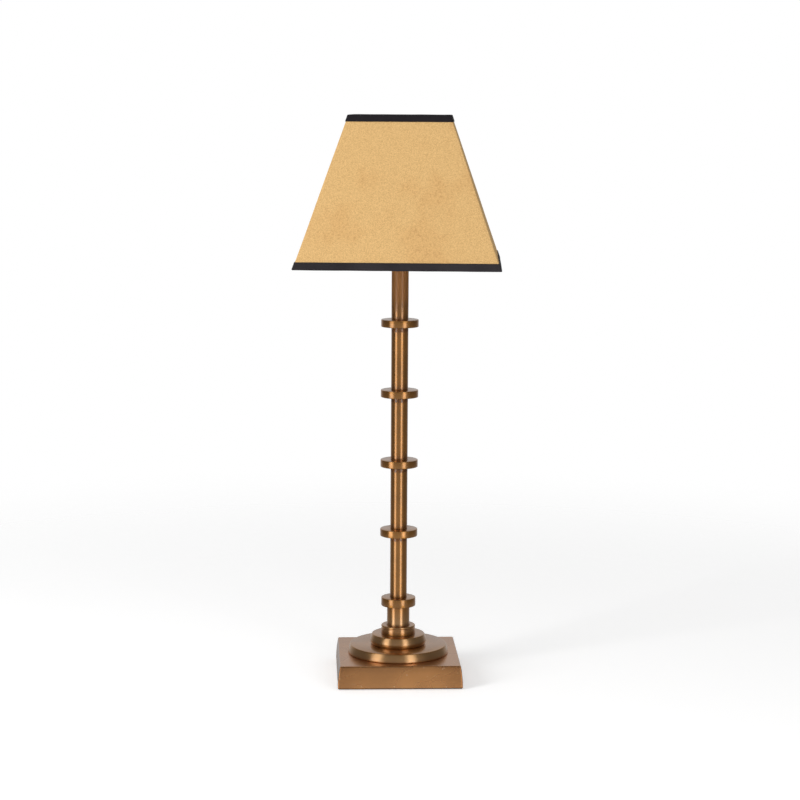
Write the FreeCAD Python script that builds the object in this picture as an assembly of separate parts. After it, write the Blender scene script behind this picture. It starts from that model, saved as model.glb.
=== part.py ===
import FreeCAD, Part
import math
import os

# Table lamp with a square tapered shade on a turned brass stem.
# Lengths are in millimetres and angles in degrees. The origin is on the table, under the middle
# of the foot, with +Z up and the front of the foot towards -Y.

# Foot
felt_thickness = 1.5
felt_gap = 0.3
board_thickness = 2.0
plinth_lift = 0.6
plinth_foot_width = 117.0
plinth_top_width = 113.0
plinth_height = 22.2
plinth_side_bow = 0.5
plinth_wall = 6.5
plinth_rim = 4.0
plinth_roof = 4.0
plinth_corner_round = 0.9
plinth_edge_round = 0.5
plinth_inner_round = 4.0
ballast_thickness = 10.0
ballast_gap = 1.0
ballast_well_radius = 19.0
cord_channel_width = 10.0

# Cord inlet in the back of the foot
inlet_height = 11.0
inlet_bore_radius = 3.7
inlet_wall = 1.5
inlet_fit = 0.1
inlet_flange_radius = 6.6
inlet_flange_thickness = 1.5
inlet_flange_gap = 0.2
inlet_seat_depth = 0.9
inlet_mouth_round = 0.5

# Threaded rod that clamps the lamp together
rod_radius = 5.0
rod_bore_radius = 3.5
rod_hole_gap = 0.2
rod_tail = 2.0
rod_engagement = 4.6
nut_across_flats = 14.0
nut_thickness = 4.0
nut_thread_gap = 0.05
washer_radius = 15.0
washer_thickness = 1.5

# Turned base under the stem
large_disc_top_radius = 45.7
large_disc_lip_radius = 47.9
large_disc_height = 8.25
large_disc_undercut = 0.8
large_disc_bow = 0.35
small_disc_top_radius = 24.9
small_disc_lip_radius = 26.7
small_disc_height = 9.9
small_disc_undercut = 2.2
small_disc_bow = 0.3
disc_edge_round = 0.4
base_collar_radius = 16.2
base_collar_height = 8.5
base_collar_rim = 2.1
base_collar_bead = 0.6
base_collar_groove = 1.0
base_collar_groove_depth = 0.8
base_collar_edge_round = 0.5
neck_radius = 10.7
neck_height = 20.0
neck_foot_radius = 11.3
neck_foot_height = 3.0
neck_foot_bow = -0.15

# Stem: plain tubes held between turned collars
tube_count = 5
tube_radius = 8.0
tube_wall = 1.5
tube_length = 59.6
top_tube_length = 49.5
lowest_collar_radius = 16.3
collar_radius = 17.65
collar_height = 6.9
collar_edge_round = 0.6
spigot_height = 2.0
spigot_gap = 0.15

# Lampholder
seat_radius = 10.2
seat_thickness = 2.5
seat_edge_round = 0.5
cap_foot_radius = 8.8
cap_foot_height = 4.4
cap_radius = 13.6
cap_shoulder_height = 7.0
cap_height = 19.25
cap_wall = 1.4
cap_floor = 5.0
sleeve_radius = 14.0
sleeve_wall = 1.4
sleeve_length = 33.0
sleeve_flange_radius = 15.6
sleeve_flange_thickness = 2.5
sleeve_skirt_length = 5.0
sleeve_skirt_gap = 0.1
sleeve_thread_pitch = 2.0
sleeve_thread_depth = 0.5
sleeve_lip = 2.0
holder_gap = 0.3
screw_gap = 0.05
grub_radius = 1.5
grub_slot_width = 0.5
grub_slot_depth = 0.7
block_flange_thickness = 5.0
block_drop = 9.0
wire_slot_width = 5.0
wire_slot_depth = 3.0
liner_wall = 3.0
liner_set_back = 2.0
shell_wall = 0.5
shell_thread_gap = 0.2
shell_foot_thickness = 0.6
shell_set_back = 6.0
contact_strip_width = 4.0
contact_strip_thickness = 0.5
contact_strip_reach = 3.6
contact_strip_bend = 1.2
contact_gap = 0.3
terminal_screw_radius = 1.5
terminal_screw_length = 7.0
terminal_head_radius = 2.6
terminal_head_height = 2.0
terminal_spacing = 13.0
terminal_slot_width = 0.7
terminal_slot_depth = 0.8

# Bulb with a small screw cap
bulb_length = 98.0
bulb_radius = 17.5
bulb_glass_wall = 0.8
bulb_neck_radius = 7.9
bulb_glass_overlap = 4.0
bulb_widest_height = 30.0
bulb_tip_radius = 2.6
bulb_tip_height = 1.2
bulb_cap_radius = 6.95
bulb_cap_length = 25.0
bulb_cap_wall = 0.4
bulb_thread_pitch = 2.82
bulb_thread_depth = 0.7
bulb_thread_turns = 5
bulb_skirt_radius = 8.5
bulb_skirt_height = 5.0
bulb_insulator_height = 2.6
bulb_contact_radius = 2.4
bulb_contact_height = 1.0
bulb_stand_out = 0.3

# Shade carrier, clamped on the lampholder by a threaded ring
rest_gap = 0.1
carrier_height = 98.0
carrier_fit = 0.1
carrier_base_radius = 18.8
carrier_base_thickness = 1.5
carrier_ear_radius = 23.4
carrier_ear_width = 7.0
carrier_wire_radius = 1.25
carrier_foot_reach = 21.2
carrier_bow_reach = 27.5
carrier_head_reach = 22.9
carrier_straight = 6.0
carrier_bend_radius = 12.0
carrier_bow_radius = 70.0
carrier_seat_bore_radius = 19.5
carrier_seat_radius = 25.5
carrier_seat_thickness = 1.5
carrier_lip_height = 3.0
carrier_lip_wall = 1.1
clamp_washer_radius = 17.8
clamp_washer_thickness = 0.8
clamp_ring_radius = 18.4
clamp_ring_height = 6.0
clamp_ring_fit = 0.1
clamp_ring_notch_count = 30
clamp_ring_notch_radius = 0.6
clamp_ring_edge_round = 0.4

# Shade
shade_height = 138.4
shade_bottom_width = 187.4
shade_top_width = 92.6
shade_turn = -4.5
cover_thickness = 0.6
lining_thickness = 0.6
trim_height = 6.2
trim_inner_height = 5.2
trim_thickness = 0.9
frame_wire_radius = 1.5
frame_gap = 0.2
frame_edge_gap = 0.5
frame_corner_radius = 5.0
fitter_drop = 18.6
fitter_bore_gap = 0.4
fitter_ring_width = 6.0
fitter_ring_thickness = 1.6
arm_count = 4
arm_set_back = 1.8
arm_run = 7.5
arm_rise_run = 8.0
arm_bend_radius = 4.0

# Overrun that lets a cut pass right through
overrun = 2.0

# Heights that follow from the stack
board_top = felt_thickness + board_thickness
plinth_top = plinth_height
plinth_ceiling = plinth_top - plinth_roof
nut_top = plinth_ceiling - washer_thickness
nut_bottom = nut_top - nut_thickness
large_disc_top = plinth_top + large_disc_height
small_disc_top = large_disc_top + small_disc_height
base_collar_top = small_disc_top + base_collar_height
neck_top = base_collar_top + neck_height
stem_pitch = collar_height + tube_length
stem_top = neck_top + (tube_count - 1) * stem_pitch + collar_height + top_tube_length
cap_bottom = stem_top + seat_thickness
cap_top = cap_bottom + cap_height
sleeve_step = cap_top + sleeve_flange_thickness / 2
sleeve_seat = cap_top + sleeve_flange_thickness
sleeve_top = cap_top + sleeve_length
block_bottom = sleeve_step - block_drop
block_top = sleeve_step + block_flange_thickness
carrier_bottom = sleeve_seat + rest_gap
carrier_base_top = carrier_bottom + carrier_base_thickness
carrier_seat_top = carrier_bottom + carrier_height
carrier_seat_bottom = carrier_seat_top - carrier_seat_thickness
clamp_washer_bottom = carrier_base_top + rest_gap
clamp_ring_bottom = clamp_washer_bottom + clamp_washer_thickness + rest_gap
bulb_cap_top = sleeve_top + bulb_stand_out
bulb_bottom = bulb_cap_top - bulb_cap_length
bulb_top = bulb_bottom + bulb_length
fitter_bottom = carrier_seat_top + rest_gap
fitter_top = fitter_bottom + fitter_ring_thickness
shade_top = fitter_bottom + fitter_drop
shade_bottom = shade_top - shade_height
frame_edge_distance = trim_inner_height + frame_edge_gap + frame_wire_radius
top_frame_height = shade_top - frame_edge_distance
bottom_frame_height = shade_bottom + frame_edge_distance

# Radii, depths and slopes that follow
rod_hole_radius = rod_radius + rod_hole_gap
tube_bore_radius = tube_radius - tube_wall
spigot_radius = tube_bore_radius - spigot_gap
base_recess_width = plinth_foot_width - 2 * plinth_rim
base_cavity_width = plinth_foot_width - 2 * plinth_wall
inlet_barrel_radius = inlet_bore_radius + inlet_wall
inlet_seat = plinth_foot_width / 2 - inlet_seat_depth
sleeve_skirt_radius = cap_radius - cap_wall - sleeve_skirt_gap
sleeve_skirt_bore = sleeve_skirt_radius - sleeve_wall
sleeve_bore = sleeve_radius - sleeve_wall
liner_radius = sleeve_bore - holder_gap
liner_bore = liner_radius - liner_wall
shell_bore = bulb_cap_radius + shell_thread_gap
fitter_bore = carrier_seat_bore_radius + carrier_lip_wall + fitter_bore_gap
laminate_thickness = cover_thickness + lining_thickness
shade_slope = (shade_bottom_width - shade_top_width) / 2 / shade_height
slant = math.hypot(1, shade_slope)
round_share = math.sqrt(0.5)
up = FreeCAD.Vector(0, 0, 1)
along_x = FreeCAD.Vector(1, 0, 0)
origin = FreeCAD.Vector(0, 0, 0)


def turned(start, *moves):
    """Turn a closed outline of (radius, height) points. Two points together are an arc through the first."""
    here = FreeCAD.Vector(start[0], 0, start[1])
    first = here
    edges = []
    for move in moves:
        if isinstance(move[0], tuple):
            middle = FreeCAD.Vector(move[0][0], 0, move[0][1])
            there = FreeCAD.Vector(move[1][0], 0, move[1][1])
            edges.append(Part.Arc(here, middle, there).toShape())
        else:
            there = FreeCAD.Vector(move[0], 0, move[1])
            edges.append(Part.LineSegment(here, there).toShape())
        here = there
    edges.append(Part.LineSegment(here, first).toShape())
    return Part.Face(Part.Wire(edges)).revolve(origin, up, 360)


def bowed(start, end, bow):
    """The middle of a rising line, moved outwards by the bow, so that an arc through it bulges."""
    run = end[0] - start[0]
    rise = end[1] - start[1]
    length = math.hypot(run, rise)
    return ((start[0] + end[0]) / 2 + bow * rise / length, (start[1] + end[1]) / 2 - bow * run / length)


def dome_middle(radius, rise, way):
    """The middle of an arc from a shallow dome's rim to its crown: a radius, and a height over the rim."""
    ball = (radius ** 2 + rise ** 2) / (2 * rise)
    spread = math.asin(radius / ball) / 2
    return ball * math.sin(spread), way * (rise - ball * (1 - math.cos(spread)))


def tube(outer, inner, bottom, top):
    """An upright tube on the axis."""
    base = FreeCAD.Vector(0, 0, bottom)
    return Part.makeCylinder(outer, top - bottom, base).cut(Part.makeCylinder(inner, top - bottom, base))


def block(width, depth, bottom, top):
    """A box centred on the axis."""
    return Part.makeBox(width, depth, top - bottom, FreeCAD.Vector(-width / 2, -depth / 2, bottom))


def rounded_block(width, bottom, top, corner):
    """A square box centred on the axis, with its upright edges rounded."""
    shape = block(width, width, bottom, top)
    return shape.makeFillet(corner, [e for e in shape.Edges if e.BoundBox.ZLength > e.Length / 2])


def round_rings(shape, radius, *rings):
    """Round the circular edges that lie at the given (radius, height) places."""
    chosen = []
    for edge in shape.Edges:
        if isinstance(edge.Curve, Part.Circle):
            place = (edge.Curve.Radius, edge.Curve.Center.z)
            if any(math.dist(place, ring) < radius / 100 for ring in rings):
                chosen.append(edge)
    return shape.makeFillet(radius, chosen)


def bent_wire(points, bends, radius):
    """A round wire along (reach, height) points in the XZ plane, with its own radius at each bend."""
    places = [FreeCAD.Vector(reach, 0, height) for reach, height in points]
    here = places[0]
    edges = []
    for before, corner, after, bend in zip(places, places[1:], places[2:], bends):
        inward = (corner - before).normalize()
        outward = (after - corner).normalize()
        half_turn = inward.getAngle(outward) / 2
        cut_back = bend * math.tan(half_turn)
        begin = corner - inward * cut_back
        end = corner + outward * cut_back
        inside = (outward - inward).normalize()
        middle = corner + inside * (bend / math.cos(half_turn) - bend)
        edges.append(Part.LineSegment(here, begin).toShape())
        edges.append(Part.Arc(begin, middle, end).toShape())
        here = end
    edges.append(Part.LineSegment(here, places[-1]).toShape())
    section = Part.Wire(Part.Circle(places[0], places[1] - places[0], radius).toShape())
    return Part.Wire(edges).makePipeShell([section], True, False)


def square_wire(half_width, height, corner, radius):
    """A square of round wire with rounded corners, centred on the axis."""
    straight = half_width - corner
    start = FreeCAD.Vector(-straight, -half_width, height)
    end = FreeCAD.Vector(straight, -half_width, height)
    pieces = []
    for quarter in range(4):
        side = Part.makeCylinder(radius, 2 * straight, start, along_x)
        disc = Part.Face(Part.Wire(Part.Circle(end, along_x, radius).toShape()))
        bend = disc.revolve(FreeCAD.Vector(straight, -straight, height), up, 90)
        for piece in (side, bend):
            piece.rotate(origin, up, 90 * quarter)
            pieces.append(piece)
    return pieces[0].multiFuse(pieces[1:])


def mitred_side(section, quarter):
    """One side of a square band with mitred ends. The section is a closed list of (half width, height)."""
    left = [FreeCAD.Vector(-half, -half, height) for half, height in section]
    right = [FreeCAD.Vector(half, -half, height) for half, height in section]
    faces = [Part.Face(Part.makePolygon(end + end[:1])) for end in (left, right)]
    for here in range(len(section)):
        there = (here + 1) % len(section)
        outline = [left[here], right[here], right[there], left[there], left[here]]
        faces.append(Part.Face(Part.makePolygon(outline)))
    side = Part.Solid(Part.Shell(faces))
    if side.Volume < 0:
        side.reverse()
    side.rotate(origin, up, 90 * quarter)
    return side


def shade_half(height, depth):
    """Half the shade's width at a height, on the plane that lies the given depth inside its outer face."""
    return shade_bottom_width / 2 - shade_slope * (height - shade_bottom) - depth * slant


def turn_with_shade(shape):
    """Turn a piece by the angle at which the shade stands over the foot."""
    shape.rotate(origin, up, shade_turn)
    return shape


def save(name, *shapes):
    """Write one piece, or a group of like pieces, to the file of its name."""
    solids = [solid for shape in shapes for solid in shape.Solids]
    whole = solids[0] if len(solids) == 1 else Part.makeCompound(solids)
    if not whole.isValid():
        print("not valid:", name)
    whole.exportStep("parts/" + name + ".step")


def make_base_sheet(bottom, top):
    """A square sheet that lies in the recess under the plinth."""
    return rounded_block(base_recess_width - 2 * felt_gap, bottom, top, plinth_inner_round)


def make_plinth_body():
    """The outside of the plinth: a square block whose sides bow and lean inwards."""
    foot = (plinth_foot_width / 2, plinth_lift)
    brow = (plinth_top_width / 2, plinth_top)
    side = bowed(foot, brow, plinth_side_bow)
    right = [FreeCAD.Vector(reach, -plinth_foot_width, height) for reach, height in (foot, side, brow)]
    left = [FreeCAD.Vector(-point.x, point.y, point.z) for point in right]
    edges = [
        Part.LineSegment(left[0], right[0]).toShape(),
        Part.Arc(*right).toShape(),
        Part.LineSegment(right[2], left[2]).toShape(),
        Part.Arc(*reversed(left)).toShape(),
    ]
    bar = Part.Face(Part.Wire(edges)).extrude(FreeCAD.Vector(0, 2 * plinth_foot_width, 0))
    crossing = bar.copy()
    crossing.rotate(origin, up, 90)
    body = bar.common(crossing)
    rising = plinth_height / 2
    body = body.makeFillet(plinth_corner_round, [e for e in body.Edges if e.BoundBox.ZLength > rising])
    level = plinth_top - plinth_edge_round
    return body.makeFillet(plinth_edge_round, [e for e in body.Edges if e.BoundBox.ZMin > level])


def make_inlet_cut():
    """The hole for the inlet bush, with a flat seat for its flange."""
    axis = FreeCAD.Vector(0, 1, 0)
    seat = FreeCAD.Vector(0, inlet_seat, inlet_height)
    start = FreeCAD.Vector(0, base_cavity_width / 2 - overrun, inlet_height)
    hole = Part.makeCylinder(inlet_barrel_radius + inlet_fit, plinth_wall + 2 * overrun, start, axis)
    return hole.fuse(Part.makeCylinder(inlet_flange_radius + inlet_flange_gap, plinth_wall, seat, axis))


def make_plinth():
    """The hollow plinth, open below, with a hole for the rod and one for the cord inlet."""
    recess_round = plinth_inner_round + felt_gap
    recess = rounded_block(base_recess_width, plinth_lift - overrun, board_top, recess_round)
    cavity = rounded_block(base_cavity_width, board_top, plinth_ceiling, plinth_inner_round)
    hole = Part.makeCylinder(rod_hole_radius, plinth_top, origin)
    return make_plinth_body().cut([recess, cavity, hole, make_inlet_cut()])


def make_ballast():
    """A heavy plate inside the plinth, with a well for the nut and a channel for the cord."""
    bottom = plinth_ceiling - ballast_thickness
    plate = rounded_block(base_cavity_width - 2 * ballast_gap, bottom, plinth_ceiling, plinth_inner_round)
    well = Part.makeCylinder(ballast_well_radius, ballast_thickness, FreeCAD.Vector(0, 0, bottom))
    corner = FreeCAD.Vector(-cord_channel_width / 2, 0, bottom)
    channel = Part.makeBox(cord_channel_width, base_cavity_width, ballast_thickness, corner)
    return plate.cut([well, channel])


def make_inlet_bush():
    """A flanged bush with a rounded mouth, where the cord goes in."""
    inner_end = base_cavity_width / 2
    outer_end = inlet_seat + inlet_flange_thickness
    bush = turned(
        (inlet_bore_radius, inner_end),
        (inlet_barrel_radius, inner_end),
        (inlet_barrel_radius, inlet_seat),
        (inlet_flange_radius, inlet_seat),
        (inlet_flange_radius, outer_end),
        (inlet_bore_radius, outer_end),
    )
    mouth, brim = (inlet_bore_radius, outer_end), (inlet_flange_radius, outer_end)
    bush = round_rings(bush, inlet_mouth_round, mouth, brim)
    bush.rotate(origin, along_x, -90)
    bush.translate(FreeCAD.Vector(0, 0, inlet_height))
    return bush


def make_nut():
    """The hexagon nut under the plinth's roof."""
    corner = nut_across_flats / math.sqrt(3)
    points = [FreeCAD.Vector(corner, 0, nut_bottom)]
    for step in range(6):
        turn = math.radians(60 * (step + 1))
        points.append(FreeCAD.Vector(corner * math.cos(turn), corner * math.sin(turn), nut_bottom))
    hexagon = Part.Face(Part.makePolygon(points)).extrude(FreeCAD.Vector(0, 0, nut_thickness))
    hole = Part.makeCylinder(rod_radius + nut_thread_gap, nut_thickness, FreeCAD.Vector(0, 0, nut_bottom))
    return hexagon.cut(hole)


def make_flared_disc(bottom, top, top_radius, lip_radius, undercut, bow):
    """A thick disc whose side leans out to a lip and is rounded in below it."""
    shoulder = lip_radius - undercut
    lip = (lip_radius, bottom + undercut)
    brow = (top_radius, top)
    curl = (shoulder + undercut * round_share, bottom + undercut - undercut * round_share)
    disc = turned(
        (rod_hole_radius, bottom),
        (shoulder, bottom),
        (curl, lip),
        (bowed(lip, brow, bow), brow),
        (rod_hole_radius, top),
    )
    return round_rings(disc, disc_edge_round, brow)


def make_base_collar():
    """The collar on the base: a band, a groove and a rounded rim, with a spigot for the neck."""
    rim_bottom = base_collar_top - base_collar_rim
    band_top = rim_bottom - base_collar_groove
    groove = base_collar_radius - base_collar_groove_depth
    rim = base_collar_radius - base_collar_bead
    collar = turned(
        (rod_hole_radius, small_disc_top),
        (base_collar_radius, small_disc_top),
        (base_collar_radius, band_top),
        (groove, band_top),
        (groove, rim_bottom),
        (rim, rim_bottom),
        ((base_collar_radius, rim_bottom + base_collar_rim / 2), (rim, base_collar_top)),
        (spigot_radius, base_collar_top),
        (spigot_radius, base_collar_top + spigot_height),
        (rod_hole_radius, base_collar_top + spigot_height),
    )
    edges = ((base_collar_radius, small_disc_top), (base_collar_radius, band_top))
    return round_rings(collar, base_collar_edge_round, *edges)


def make_neck():
    """The short thick neck, which spreads a little at its foot."""
    foot = (neck_foot_radius, base_collar_top)
    waist = (neck_radius, base_collar_top + neck_foot_height)
    return turned(
        (tube_bore_radius, base_collar_top),
        foot,
        (bowed(foot, waist, neck_foot_bow), waist),
        (neck_radius, neck_top),
        (tube_bore_radius, neck_top),
    )


def make_stem_collar(bottom, radius):
    """A turned collar with a spigot above and below for the tubes."""
    top = bottom + collar_height
    collar = turned(
        (rod_hole_radius, bottom - spigot_height),
        (spigot_radius, bottom - spigot_height),
        (spigot_radius, bottom),
        (radius, bottom),
        (radius, top),
        (spigot_radius, top),
        (spigot_radius, top + spigot_height),
        (rod_hole_radius, top + spigot_height),
    )
    return round_rings(collar, collar_edge_round, (radius, bottom), (radius, top))


def make_stem_seat():
    """The flanged piece that closes the top tube and carries the lampholder."""
    seat = turned(
        (rod_hole_radius, stem_top - spigot_height),
        (spigot_radius, stem_top - spigot_height),
        (spigot_radius, stem_top),
        (seat_radius, stem_top),
        (seat_radius, cap_bottom),
        (rod_hole_radius, cap_bottom),
    )
    return round_rings(seat, seat_edge_round, (seat_radius, stem_top), (seat_radius, cap_bottom))


def make_holder_cap():
    """The lower cup of the lampholder, screwed on the rod and locked by a grub screw in its foot."""
    foot_top = cap_bottom + cap_foot_height
    shoulder = foot_top + cap_shoulder_height
    floor = cap_bottom + cap_floor
    wall_inside = cap_radius - cap_wall
    floor_radius = cap_foot_radius - cap_wall
    spread = cap_radius - cap_foot_radius
    outer_curve = (cap_foot_radius + spread * round_share, shoulder - cap_shoulder_height * round_share)
    inner_curve = (floor_radius + spread * round_share, shoulder - (shoulder - floor) * round_share)
    cup = turned(
        (rod_radius + screw_gap, cap_bottom),
        (cap_foot_radius, cap_bottom),
        (cap_foot_radius, foot_top),
        (outer_curve, (cap_radius, shoulder)),
        (cap_radius, cap_top),
        (wall_inside, cap_top),
        (wall_inside, shoulder),
        (inner_curve, (floor_radius, floor)),
        (rod_radius + screw_gap, floor),
    )
    middle = FreeCAD.Vector(0, 0, cap_bottom + cap_foot_height / 2)
    return cup.cut(Part.makeCylinder(grub_radius + screw_gap, cap_radius, middle, FreeCAD.Vector(0, 1, 0)))


def make_grub_screw():
    """The slotted grub screw in the foot of the lampholder's cup."""
    height = cap_bottom + cap_foot_height / 2
    start = rod_radius + screw_gap
    end = cap_foot_radius - holder_gap
    inner_end = FreeCAD.Vector(0, start, height)
    screw = Part.makeCylinder(grub_radius, end - start, inner_end, FreeCAD.Vector(0, 1, 0))
    half_slot = grub_slot_width / 2
    slot = block(2 * cap_radius, grub_slot_depth, height - half_slot, height + half_slot)
    slot.translate(FreeCAD.Vector(0, end - grub_slot_depth / 2, 0))
    return screw.cut(slot)


def make_holder_sleeve():
    """The upper half of the lampholder: skirt, flange and sleeve, with its screw thread drawn as rings."""
    thread_length = sleeve_length - sleeve_flange_thickness - sleeve_lip
    root = sleeve_radius - sleeve_thread_depth
    ridges = []
    for turn in range(int(thread_length / sleeve_thread_pitch)):
        start = sleeve_seat + turn * sleeve_thread_pitch
        ridges.append((root, start + sleeve_thread_pitch / 2))
        ridges.append((sleeve_radius, start + sleeve_thread_pitch))
    return turned(
        (sleeve_skirt_bore, cap_top - sleeve_skirt_length),
        (sleeve_skirt_radius, cap_top - sleeve_skirt_length),
        (sleeve_skirt_radius, cap_top),
        (sleeve_flange_radius, cap_top),
        (sleeve_flange_radius, sleeve_seat),
        (sleeve_radius, sleeve_seat),
        *ridges,
        (sleeve_radius, sleeve_top),
        (sleeve_bore, sleeve_top),
        (sleeve_bore, sleeve_step),
        (sleeve_skirt_bore, sleeve_step),
    )


def terminal_places():
    """The two places of the terminal screws, left and right of the axis."""
    return [FreeCAD.Vector(side * terminal_spacing / 2, 0, block_bottom) for side in (-1, 1)]


def make_terminal_block():
    """The ceramic block that holds the terminals, with slots for the wires."""
    drop = sleeve_skirt_bore - holder_gap
    body = turned(
        (0, block_bottom),
        (drop, block_bottom),
        (drop, sleeve_step),
        (liner_radius, sleeve_step),
        (liner_radius, block_top),
        (0, block_top),
    )
    hole_radius = terminal_screw_radius + screw_gap
    cuts = [Part.makeCylinder(hole_radius, terminal_screw_length, place) for place in terminal_places()]
    for side in (-1, 1):
        slot = block(wire_slot_width, wire_slot_depth, block_bottom, sleeve_step)
        slot.translate(FreeCAD.Vector(0, side * drop, 0))
        cuts.append(slot)
    return body.cut(cuts)


def make_terminal_screws():
    """Two slotted screws in the underside of the terminal block."""
    screws = []
    for place in terminal_places():
        below = place - up * terminal_head_height
        shank = Part.makeCylinder(terminal_screw_radius, terminal_screw_length - screw_gap, place)
        head = Part.makeCylinder(terminal_head_radius, terminal_head_height, below)
        slot = block(2 * terminal_head_radius, terminal_slot_width, 0, terminal_slot_depth)
        slot.translate(below)
        screws.append(shank.fuse(head).cut(slot))
    return screws


def make_liner():
    """The insulating tube between the sleeve and the screw shell."""
    return tube(liner_radius, liner_bore, block_top, sleeve_top - liner_set_back)


def make_screw_shell():
    """The metal shell that takes the bulb's cap, with a foot on the terminal block."""
    foot = liner_bore - holder_gap
    shell_top = sleeve_top - shell_set_back
    foot_top = block_top + shell_foot_thickness
    return turned(
        (shell_bore, block_top),
        (foot, block_top),
        (foot, foot_top),
        (shell_bore + shell_wall, foot_top),
        (shell_bore + shell_wall, shell_top),
        (shell_bore, shell_top),
    )


def make_centre_contact():
    """The sprung strip that touches the middle of the bulb's cap."""
    crest = bulb_bottom - contact_gap
    under_crest = crest - contact_strip_thickness
    foot_top = block_top + contact_strip_thickness
    outline = [
        (-contact_strip_reach, block_top),
        (-contact_strip_reach + contact_strip_bend, block_top),
        (-contact_strip_reach + 2 * contact_strip_bend, under_crest),
        (contact_strip_bend, under_crest),
        (contact_strip_bend, crest),
        (-contact_strip_reach + 2 * contact_strip_bend - contact_strip_thickness, crest),
        (-contact_strip_reach + contact_strip_bend - contact_strip_thickness, foot_top),
        (-contact_strip_reach, foot_top),
    ]
    points = [FreeCAD.Vector(reach, -contact_strip_width / 2, height) for reach, height in outline]
    face = Part.Face(Part.makePolygon(points + points[:1]))
    return face.extrude(FreeCAD.Vector(0, contact_strip_width, 0))


def swell(widest, end, height):
    """A radius halfway up an arc that is upright where the bulb is widest and ends at the end radius."""
    narrowing = widest - end
    bend = (narrowing ** 2 + height ** 2) / (2 * narrowing)
    return widest - bend + math.sqrt(bend ** 2 - (height / 2) ** 2)


def make_bulb_glass():
    """The hollow candle-shaped glass, whose neck sits in the skirt of the cap."""
    neck_bottom = bulb_cap_top - bulb_glass_overlap
    widest = bulb_cap_top + bulb_widest_height
    tip_bottom = bulb_top - bulb_tip_height
    inner_neck = bulb_neck_radius - bulb_glass_wall
    inner_widest = bulb_radius - bulb_glass_wall
    inner_tip = bulb_tip_radius - bulb_glass_wall
    inner_top = bulb_top - bulb_glass_wall
    lower_middle = (bulb_cap_top + widest) / 2
    upper_middle = (widest + tip_bottom) / 2
    lower_swell = swell(bulb_radius, bulb_neck_radius, bulb_widest_height)
    upper_swell = swell(bulb_radius, bulb_tip_radius, tip_bottom - widest)
    inner_lower = swell(inner_widest, inner_neck, bulb_widest_height)
    inner_upper = swell(inner_widest, inner_tip, tip_bottom - widest)
    tip_reach, tip_rise = dome_middle(bulb_tip_radius, bulb_tip_height, 1)
    inner_tip_reach, inner_tip_rise = dome_middle(inner_tip, inner_top - tip_bottom, 1)
    return turned(
        (inner_neck, neck_bottom),
        (bulb_neck_radius, neck_bottom),
        (bulb_neck_radius, bulb_cap_top),
        ((lower_swell, lower_middle), (bulb_radius, widest)),
        ((upper_swell, upper_middle), (bulb_tip_radius, tip_bottom)),
        ((tip_reach, tip_bottom + tip_rise), (0, bulb_top)),
        (0, inner_top),
        ((inner_tip_reach, tip_bottom + inner_tip_rise), (inner_tip, tip_bottom)),
        ((inner_upper, upper_middle), (inner_widest, widest)),
        ((inner_lower, lower_middle), (inner_neck, bulb_cap_top)),
    )


def make_bulb_cap():
    """The bulb's screw cap: a thin shell with a rounded thread, drawn as rings, and a wider skirt."""
    bottom = bulb_bottom + bulb_contact_height + bulb_insulator_height
    skirt_bottom = bulb_cap_top - bulb_skirt_height
    root = bulb_cap_radius - bulb_thread_depth
    inside = root - bulb_cap_wall
    ridges = []
    for turn in range(bulb_thread_turns):
        start = bottom + turn * bulb_thread_pitch
        crest = (bulb_cap_radius, start + bulb_thread_pitch / 2)
        ridges.append((crest, (root, start + bulb_thread_pitch)))
    return turned(
        (inside, bottom),
        (root, bottom),
        *ridges,
        (root, skirt_bottom),
        (bulb_skirt_radius, skirt_bottom),
        (bulb_skirt_radius, bulb_cap_top),
        (bulb_skirt_radius - bulb_cap_wall, bulb_cap_top),
        (bulb_skirt_radius - bulb_cap_wall, skirt_bottom + bulb_cap_wall),
        (inside, skirt_bottom + bulb_cap_wall),
    )


def make_bulb_insulator():
    """The glass plug that closes the cap and holds the contact."""
    bottom = bulb_bottom + bulb_contact_height
    top = bottom + bulb_insulator_height
    brim = bulb_cap_radius - bulb_thread_depth
    return turned((0, bottom), (bulb_contact_radius, bottom), (brim, top), (0, top))


def make_bulb_contact():
    """The domed contact under the bulb."""
    top = bulb_bottom + bulb_contact_height
    reach, rise = dome_middle(bulb_contact_radius, bulb_contact_height, -1)
    return turned((0, bulb_bottom), ((reach, top + rise), (bulb_contact_radius, top)), (0, top))


def make_carrier_base():
    """The flat ring that is clamped on the lampholder, with an ear on each side for a wire."""
    base = FreeCAD.Vector(0, 0, carrier_bottom)
    disc = Part.makeCylinder(carrier_base_radius, carrier_base_thickness, base)
    strip = block(2 * carrier_ear_radius, carrier_ear_width, carrier_bottom, carrier_base_top)
    ears = strip.common(Part.makeCylinder(carrier_ear_radius, carrier_base_thickness, base))
    return disc.fuse(ears).cut(Part.makeCylinder(sleeve_radius + carrier_fit, carrier_base_thickness, base))


def make_carrier_wires():
    """Two bowed wires that pass the bulb on either side."""
    points = [
        (carrier_foot_reach, carrier_base_top),
        (carrier_foot_reach, carrier_base_top + carrier_straight),
        (carrier_bow_reach, (carrier_base_top + carrier_seat_bottom) / 2),
        (carrier_head_reach, carrier_seat_bottom - carrier_straight),
        (carrier_head_reach, carrier_seat_bottom),
    ]
    bends = [carrier_bend_radius, carrier_bow_radius, carrier_bend_radius]
    wires = []
    for side in range(2):
        wire = bent_wire(points, bends, carrier_wire_radius)
        wire.rotate(origin, up, 180 * side)
        wires.append(wire)
    return wires


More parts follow.
